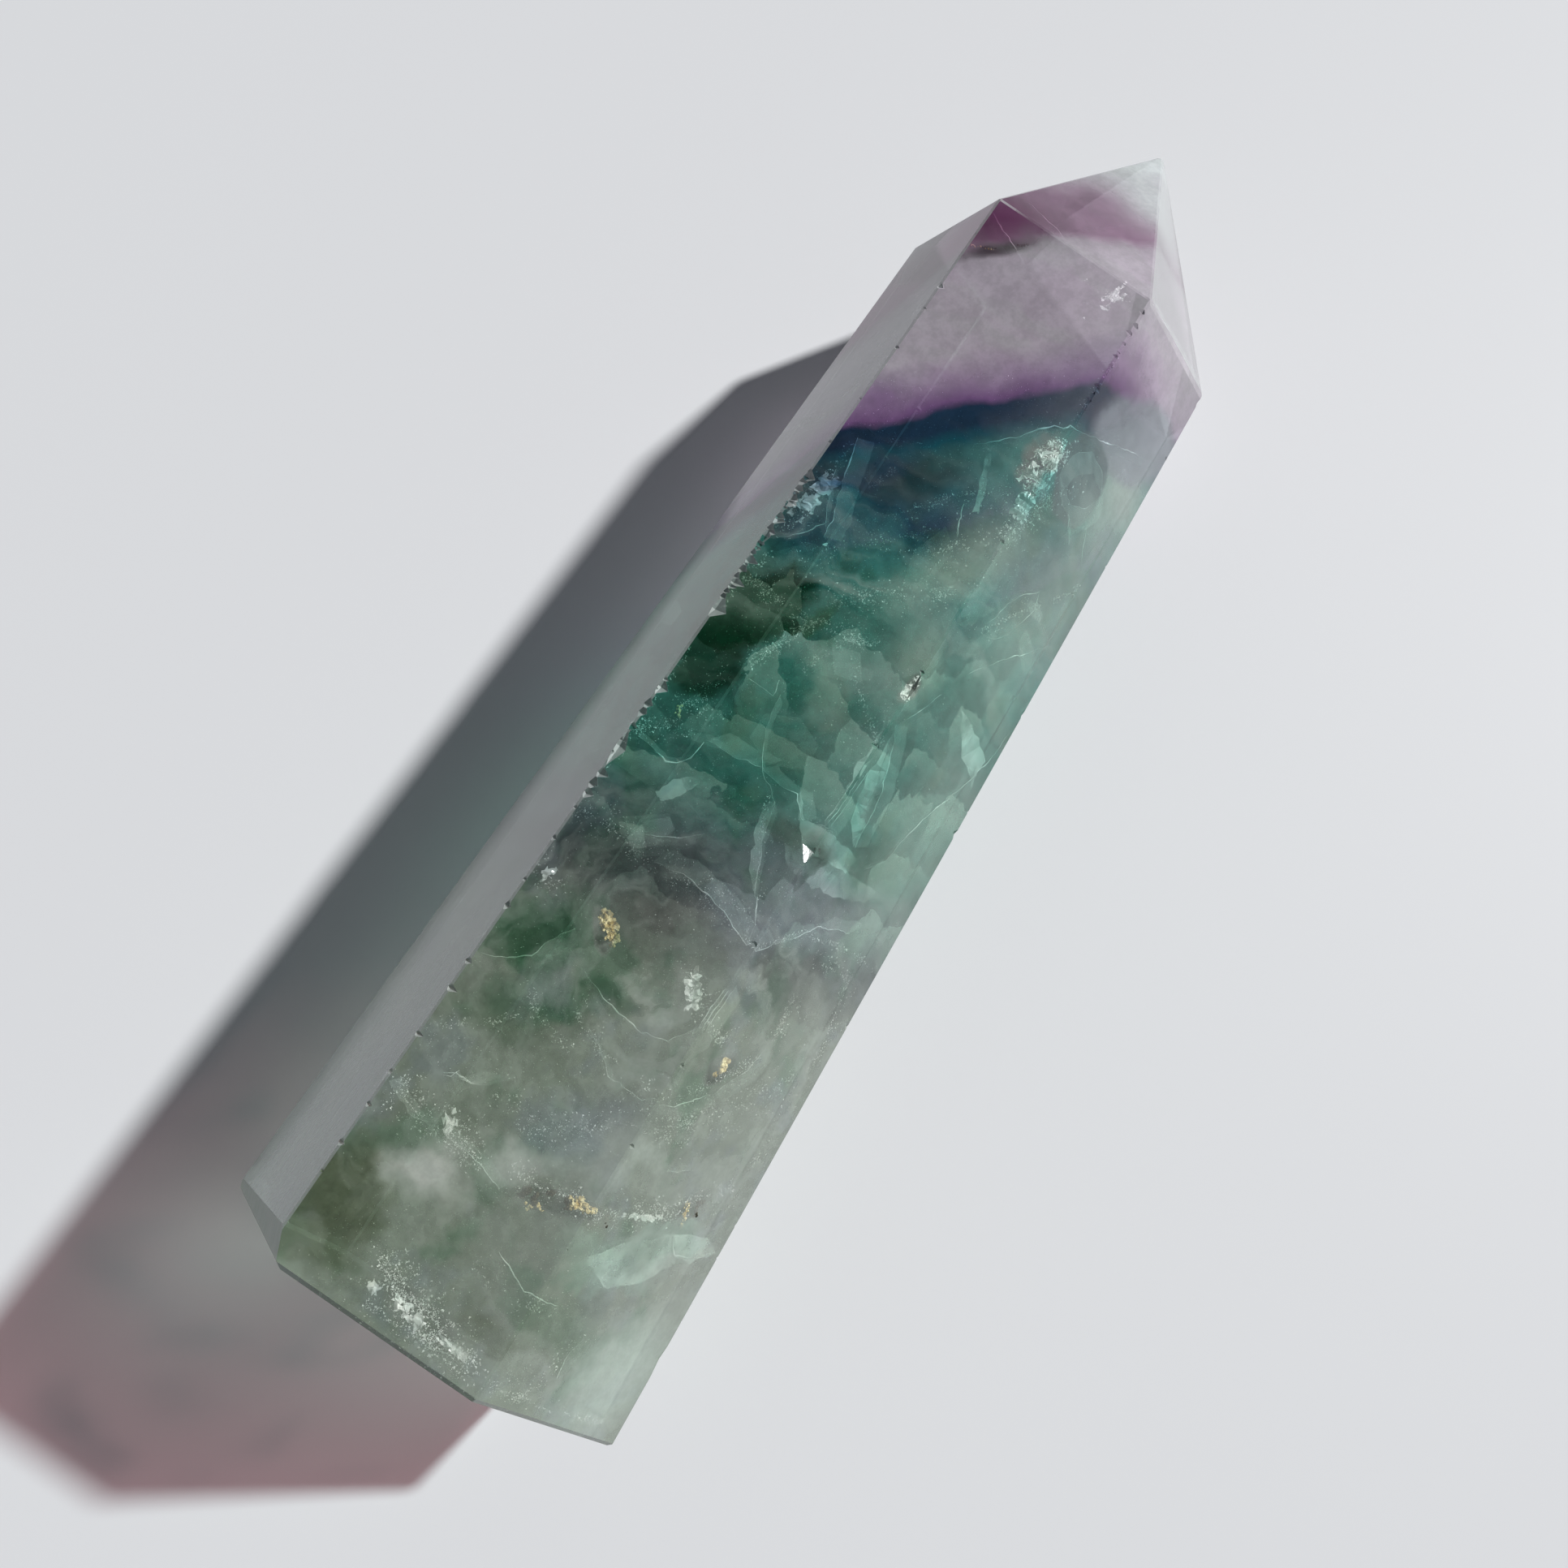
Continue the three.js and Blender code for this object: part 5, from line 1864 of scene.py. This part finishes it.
# Courses of crack edges: radius, then the points they run through.
CRACKS: tuple[tuple[float, Course], ...] = (
    # inner lines of the tip
    (0.06, ((36.1, 6.8, 21.6), (35.2, 5.4, 21.6), (34.4, 3.7, 21.6), (33.5, 2.5, 21.6))),
    (0.06, ((38.5, 5.1, 20.3), (37.9, 3.2, 20.6), (36.5, 0.7, 21.4))),
    # bright end of the blue band
    (0.11, ((19.3, -1.6, 22.8), (20.5, -2.9, 22.7), (21.9, -4.2, 22.5), (22.8, -4.8, 22.5),
            (23.5, -5.6, 22.4), (23.7, -6.3, 22.4), (24.2, -6.6, 22.3), (25.1, -7.6, 20.5),
            (25.8, -8.4, 19.1), (27.9, -10.4, 15.3), (28.7, -11.3, 13.7))),
    # crack network in the middle
    (0.08, ((-3.3, 0.4, 23.3), (-5.6, -0.0, 23.4), (-8.3, -1.3, 23.6), (-9.8, -3.4, 23.6),
            (-12.2, -3.9, 23.7), (-14.6, -5.0, 23.9), (-15.9, -5.6, 23.9))),
    (0.08, ((-8.3, -1.3, 23.6), (-8.6, -2.6, 23.6), (-8.6, -4.3, 23.5), (-9.9, -5.6, 23.6))),
    (0.07, ((-8.6, 2.8, 24.0), (-8.6, 0.4, 23.9), (-8.3, -1.3, 23.9))),
    (0.11, ((-10.9, 6.7, 24.6), (-11.0, 5.5, 24.6), (-11.4, 4.2, 24.6), (-10.9, 3.4, 24.5),
            (-10.2, 3.0, 24.5), (-8.9, 2.8, 24.4))),
    (0.08, ((-3.5, 2.9, 23.7), (-3.7, 0.7, 23.6), (-2.5, 0.9, 23.6))),
    (0.08, ((-9.1, -6.9, 23.5), (-7.5, -6.9, 23.2), (-4.8, -7.1, 23.2))),
    (0.08, ((-9.3, -8.6, 20.3), (-8.0, -8.5, 20.3), (-6.2, -8.4, 20.4), (-3.7, -7.9, 21.1),
            (-0.9, -6.8, 22.7))),
    (0.08, ((-9.8, -10.0, 18.4), (-8.2, -10.8, 16.8), (-6.5, -11.0, 16.4), (-3.6, -11.5, 15.1),
            (-0.4, -12.4, 13.3), (2.8, -13.0, 11.9), (5.7, -13.2, 11.4))),
    (0.07, ((-0.7, -7.0, 22.4), (0.9, -7.5, 21.4), (3.2, -8.1, 20.1))),
    (0.07, ((5.9, -8.8, 18.6), (9.0, -10.3, 15.7), (12.7, -12.3, 11.9))),
    # smoky middle
    (0.07, ((-28.4, 7.5, 25.0), (-27.9, 5.9, 25.0), (-26.8, 4.6, 24.9), (-25.1, 4.0, 24.7),
            (-23.9, 3.2, 24.6))),
    (0.08, ((-16.5, 3.5, 23.9), (-16.0, 2.2, 23.8), (-15.2, 0.7, 23.8), (-14.1, -0.5, 23.7))),
    (0.08, ((-15.8, -5.7, 23.4), (-17.5, -6.6, 23.5), (-18.9, -6.8, 23.4))),
    (0.08, ((-17.4, 1.3, 23.7), (-17.2, -1.1, 23.6), (-17.7, -4.1, 23.6), (-18.9, -6.8, 23.4),
            (-17.1, -8.0, 21.2), (-15.1, -9.0, 19.2), (-14.0, -10.9, 15.8))),
    (0.10, ((-36.1, 5.4, 25.8), (-35.6, 4.4, 25.7), (-35.7, 4.1, 25.7), (-35.6, 3.2, 25.7),
            (-35.1, 2.3, 25.6))),
    (0.08, ((-25.8, 1.4, 24.7), (-26.6, -0.6, 24.7), (-27.0, -2.3, 24.7), (-27.3, -4.2, 24.7),
            (-26.8, -5.9, 24.6), (-25.0, -7.1, 24.5), (-23.2, -7.1, 24.2), (-21.4, -7.3, 24.2))),
    (0.08, ((-28.8, -1.1, 24.5), (-29.7, -2.7, 24.6), (-30.7, -3.9, 24.6), (-30.8, -6.5, 24.5),
            (-30.2, -7.7, 23.1), (-28.2, -9.2, 20.4), (-25.8, -10.1, 18.5), (-23.8, -10.4, 17.9))),
    (0.08, ((-38.3, 7.8, 25.7), (-39.3, 5.5, 25.7), (-39.1, 3.3, 25.6), (-39.4, 0.3, 25.5),
            (-40.1, -2.0, 25.5))),
    (0.06, ((-34.0, -9.6, 21.8), (-33.6, -10.4, 20.3), (-33.0, -11.2, 19.0))),
    (0.08, ((-37.5, -11.7, 17.7), (-38.9, -12.6, 16.4), (-38.3, -14.4, 13.0))),
    # foot
    (0.11, ((-49.9, -2.7, 26.6), (-50.1, -3.8, 26.6), (-49.7, -5.2, 26.5))),
    (0.08, ((-45.6, -10.4, 20.2), (-47.4, -10.2, 20.9), (-49.1, -10.5, 20.5))),
    (0.07, ((-43.2, -4.1, 25.7), (-44.3, -6.8, 25.7), (-44.3, -8.3, 23.9))),
    # blade by the rough patch
    (0.08, ((15.5, 5.7, 22.8), (12.4, 4.9, 23.0), (9.3, 4.0, 23.1), (7.9, 3.8, 23.2))),
    (0.06, ((12.6, 5.7, 23.2), (11.8, 5.5, 23.2), (10.9, 5.2, 23.3), (8.7, 4.2, 23.4))),
    (0.08, ((6.3, 6.2, 23.7), (7.4, 5.1, 23.6), (8.7, 4.2, 23.5))),
    (0.07, ((15.3, -3.1, 22.1), (14.1, -3.5, 22.2), (12.9, -4.0, 22.2))),
    (0.07, ((22.0, -9.8, 15.9), (20.6, -10.5, 14.8), (18.9, -11.3, 13.5))),
    (0.08, ((20.3, -9.0, 17.5), (19.8, -9.1, 17.3), (19.5, -9.3, 17.0))),
    # outlines of a lens-shaped and a six-sided block
    (0.05, ((8.7, -8.0, 19.2), (9.2, -8.8, 17.7), (10.4, -9.4, 16.6), (13.4, -10.0, 15.2),
            (14.6, -9.6, 15.7), (13.4, -8.9, 17.1), (11.8, -8.4, 18.2), (9.4, -7.9, 19.2),
            (8.7, -8.0, 19.2))),
    (0.03, ((21.1, -7.3, 21.1), (23.1, -7.3, 20.8), (24.7, -8.2, 19.2), (24.7, -9.4, 17.1),
            (23.6, -10.2, 15.8), (21.7, -9.8, 16.5), (20.7, -8.8, 18.5), (21.1, -7.3, 21.1))),
    (0.07, ((-36.2, 5.2, 26.4), (-35.9, 4.4, 26.3), (-35.3, 4.2, 26.3))),
    (0.07, ((-35.8, 3.9, 26.3), (-35.6, 3.1, 26.3), (-35.1, 2.1, 26.2))),
    (0.07, ((35.7, -6.8, 21.8), (36.2, -8.3, 18.7), (36.7, -9.8, 15.7), (37.1, -12.0, 11.7))),
)

# Hair cracks with dust in them, under the long left face.
HAIR_CRACKS: tuple[tuple[float, Course], ...] = (
    (0.035, ((13.3, 10.0, 18.4), (13.2, 11.9, 15.2), (12.1, 11.4, 16.3), (12.1, 13.4, 12.8))),
    (0.035, ((7.7, 12.3, 15.0), (5.6, 11.6, 16.5), (4.2, 10.2, 18.9))),
    (0.03, ((6.2, 13.8, 12.5), (5.3, 13.8, 12.7), (3.8, 13.5, 13.2))),
    (0.03, ((6.0, 12.7, 14.5), (2.7, 11.6, 16.7), (1.3, 10.8, 18.2), (0.2, 11.0, 17.9),
            (-1.3, 10.2, 19.4), (-3.4, 10.4, 19.2), (-5.5, 9.2, 21.5))),
    (0.03, ((-19.8, 13.9, 14.6), (-22.1, 14.2, 14.4), (-23.1, 13.6, 15.5))),
    (0.03, ((-26.7, 13.9, 15.2), (-29.6, 13.6, 16.1), (-32.0, 12.6, 18.0), (-33.2, 12.8, 17.6),
            (-34.9, 11.8, 19.6))),
    (0.03, ((-30.8, 9.7, 22.8), (-31.0, 8.9, 24.3), (-31.6, 9.4, 23.5))),
    (0.04, ((-46.0, 13.6, 17.5), (-46.5, 13.3, 17.9), (-47.6, 14.6, 15.9), (-48.2, 14.5, 16.1),
            (-48.9, 14.1, 16.8), (-49.6, 14.6, 16.1), (-50.0, 14.1, 16.9), (-50.8, 14.4, 16.5))),
)


@dataclass
class CrackEdges(Enclosed):
    """Thin tapered ridges along the courses of cracks.

    Attributes:
        courses: radius and points of each course.
        step_mm: length of a step.
        wavers_per_mm: how fast the large and the small wavering follow each other.
        waver_share: the small wavering, as a share of the large.
        waver_mm: how far a course wavers.
        taper_ends: share of the course at which the taper stops, at both ends.
        fading_per_mm: how fast a ridge swells and fades.
        fading: least and middle thickness of a fading ridge, and what the noise adds.
        rough_share: least and largest thickness of a step, as a share of the rest.
        weld_mm: distance below which two corners become one.
    """

    courses: tuple[tuple[float, Course], ...] = ()
    step_mm: float = 0.35
    wavers_per_mm: Pair = (1.3, 4.0)
    waver_share: float = 0.4
    waver_mm: float = 0.16
    taper_ends: Pair = (0.04, 0.96)
    fading_per_mm: float = 0.45
    fading: Point = (0.12, 0.5, 1.6)
    rough_share: Pair = (0.45, 1.0)
    weld_mm: float = 1e-5

    def build(self) -> bpy.types.Object:
        """Runs a ridge along every course."""
        curve = bpy.data.curves.new(self.name + "_course", "CURVE")
        curve.dimensions = "3D"
        curve.bevel_depth = 1.0
        curve.bevel_resolution = 0
        curve.use_fill_caps = True
        first, last = self.taper_ends
        least, middle, gain = self.fading
        for radius, course in self.courses:
            places = self.ragged(course)
            spline = curve.splines.new("POLY")
            spline.points.add(len(places) - 1)
            for number, (point, place) in enumerate(zip(spline.points, places)):
                share = number / (len(places) - 1)
                taper = math.sqrt(math.sin(math.pi * min(max(share, first), last)))
                point.co = (*place, 1.0)
                swell = max(least, middle + gain * noise.noise(place * self.fading_per_mm))
                rough = self.rng.uniform(*self.rough_share)
                point.radius = radius * taper * min(1.0, swell) * rough
        maker = bpy.data.objects.new(self.name + "_course", curve)
        mesh = bpy.data.meshes.new_from_object(maker)
        shape = bmesh.new()
        shape.from_mesh(mesh)
        bmesh.ops.remove_doubles(shape, verts=shape.verts, dist=self.weld_mm)
        bmesh.ops.recalc_face_normals(shape, faces=shape.faces)
        bpy.data.batch_remove((maker, curve, mesh))
        return self.place(shape)

    def ragged(self, course: Course) -> list[Vector]:
        """Breaks a course into short steps that waver a little.

        Args:
            course: points in millimetres.

        Returns:
            The points of the ragged course, all inside the stone.
        """
        places = []
        large, small = self.wavers_per_mm
        for start, end in zip(course, course[1:]):
            start, end = Vector(start), Vector(end)
            steps = max(2, round((end - start).length / self.step_mm))
            for number in range(steps):
                place = start.lerp(end, number / steps)
                waver = noise.noise_vector(place * large)
                waver += noise.noise_vector(place * small) * self.waver_share
                moved = place + waver * self.waver_mm
                places.append(moved if self.tower.holds(moved, self.margin_mm) else place)
        places.append(Vector(course[-1]))
        return places


@dataclass
class CrackWalls(CrackEdges):
    """Faint walls that go down into the stone from the edges of cracks.

    Attributes:
        depth_mm: least and largest height of a wall.
        lean: how far a wall leans over at most, as a share of its height.
        thickness_mm: thickness of a wall.
    """

    depth_mm: Pair = (1.0, 3.0)
    lean: float = 0.7
    thickness_mm: float = 0.03

    def build(self) -> bpy.types.Object:
        """Hangs a wall from every course."""
        shape = bmesh.new()
        for _, course in self.courses:
            fall = Vector((self.rng.uniform(-1, 1), self.rng.uniform(-1, 1), 0)) * self.lean
            fall = (fall - Vector(Z_AXIS)).normalized() * self.rng.uniform(*self.depth_mm)
            rim = [shape.verts.new(place) for place in self.ragged(course)]
            edges = [shape.edges.new(pair) for pair in zip(rim, rim[1:])]
            hem = bmesh.ops.extrude_edge_only(shape, edges=edges)["geom"]
            lower = [part for part in hem if isinstance(part, bmesh.types.BMVert)]
            bmesh.ops.translate(shape, verts=lower, vec=fall)
        bmesh.ops.recalc_face_normals(shape, faces=shape.faces)
        bmesh.ops.solidify(shape, geom=shape.faces, thickness=self.thickness_mm)
        return self.place(shape)


@dataclass
class Studio:
    """Pale floor, lights and camera.

    Attributes:
        floor_half_m: half the side of the floor.
        floor_gap_mm: how far it lies below the stone.
        lens_mm: focal length.
        sensor_mm: side of the square sensor.
        nearest_m: distance from which things are seen.
        eye_mm: place of the camera.
        look: direction in which it looks.
        picture_up: direction that is up in the picture.
        to_key: direction to the key light.
        key_power: its strength.
        key_angle: its apparent size, in degrees.
        sky: colour of the sky.
        sky_power: its strength.
    """

    floor_half_m: float = 1.5
    floor_gap_mm: float = 0.05
    lens_mm: float = 36.0
    sensor_mm: float = 36.0
    nearest_m: float = 0.005
    eye_mm: Point = (-23.64, -19.06, 126.51)
    look: Point = (0.14519, 0.1512, -0.97778)
    picture_up: Point = (0.83598, 0.50984, 0.20298)
    to_key: Point = (0.63, -0.505, 0.59)
    key_power: float = 4.4
    key_angle: float = 3.0
    sky: str = "dfe6f2"
    sky_power: float = 0.12

    def build_floor(self) -> bpy.types.Object:
        """Lays the floor."""
        shape = bmesh.new()
        bmesh.ops.create_grid(shape, x_segments=1, y_segments=1, size=self.floor_half_m)
        bmesh.ops.translate(shape, verts=shape.verts, vec=(0, 0, -self.floor_gap_mm * MM))
        mesh = bpy.data.meshes.new("table_top")
        shape.to_mesh(mesh)
        shape.free()
        mesh.materials.append(TablePaint().build())
        floor = bpy.data.objects.new("table_top", mesh)
        bpy.context.scene.collection.objects.link(floor)
        return floor

    def light(self) -> None:
        """Adds the key light and the sky."""
        lamp = bpy.data.lights.new("key", "SUN")
        lamp.energy = self.key_power
        lamp.angle = math.radians(self.key_angle)
        key = bpy.data.objects.new("key", lamp)
        key.rotation_euler = (-Vector(self.to_key)).to_track_quat("-Z", "Y").to_euler()
        bpy.context.scene.collection.objects.link(key)
        world = bpy.data.worlds.new("pale_sky")
        world.use_nodes = True
        background = world.node_tree.nodes["Background"]
        background.inputs["Color"].default_value = linear(self.sky)
        background.inputs["Strength"].default_value = self.sky_power
        bpy.context.scene.world = world
        bpy.context.scene.view_settings.view_transform = "Standard"

    def place_camera(self) -> None:
        """Sets the camera above the table."""
        data = bpy.data.cameras.new("camera")
        data.sensor_width = data.sensor_height = self.sensor_mm
        data.sensor_fit = "HORIZONTAL"
        data.lens = self.lens_mm
        data.clip_start = self.nearest_m
        camera = bpy.data.objects.new("camera", data)
        back = -Vector(self.look).normalized()
        side = Vector(self.picture_up).cross(back).normalized()
        up = back.cross(side)
        turn = Matrix((side, up, back)).transposed().to_4x4()
        camera.matrix_world = Matrix.Translation(Vector(self.eye_mm) * MM) @ turn
        bpy.context.scene.collection.objects.link(camera)
        bpy.context.scene.camera = camera


def main() -> None:
    """Builds the stone's looks and the studio in order."""
    noise.seed_set(NOISE_SEED)
    logging.basicConfig(level=logging.INFO, format="%(message)s")
    studio = Studio()
    studio.place_camera()
    studio.build_floor()
    studio.light()
    LOG.info("studio ready")
    tower = Tower()
    tower.dress()
    FractureSparkles(tower, "fracture_sparkles", FreshFracture(), seed=11).build()
    HealedVeils(tower, "healed_veils", HealedVeil(), seed=12).build()
    InnerDust(tower, "inner_dust", HealedVeil(), seed=20).build()
    CrumpledBreaks(tower, "crumpled_breaks", FreshFracture(), seed=21).build()
    CleavageSteps(tower, "cleavage_steps", CleavageLedge(), seed=13).build()
    CleavagePlanes(tower, "cleavage_planes", CleavageWall(), seed=14).build()
    CrackEdges(tower, "crack_edges", CrackEdge(), seed=15, courses=CRACKS).build()
    CrackWalls(tower, "crack_walls", CleavageWall(), seed=16, courses=CRACKS).build()
    hair = {"seed": 17, "margin_mm": 0.1, "courses": HAIR_CRACKS}
    CrackEdges(tower, "hair_cracks", DirtyCrack(), **hair).build()
    rust = {"seed": 18, "crumb": Crumb.GRAIN, "pockets": RUST}
    DirtPockets(tower, "iron_stains", IronStain(), **rust).build()
    specks = {"seed": 19, "crumb": Crumb.GRAIN, "pockets": SPECKS}
    specks.update(depth_mm=0.15, margin_mm=0.08)
    DirtPockets(tower, "dark_specks", DarkSpeck(), **specks).build()


if __name__ == "__main__":
    main()
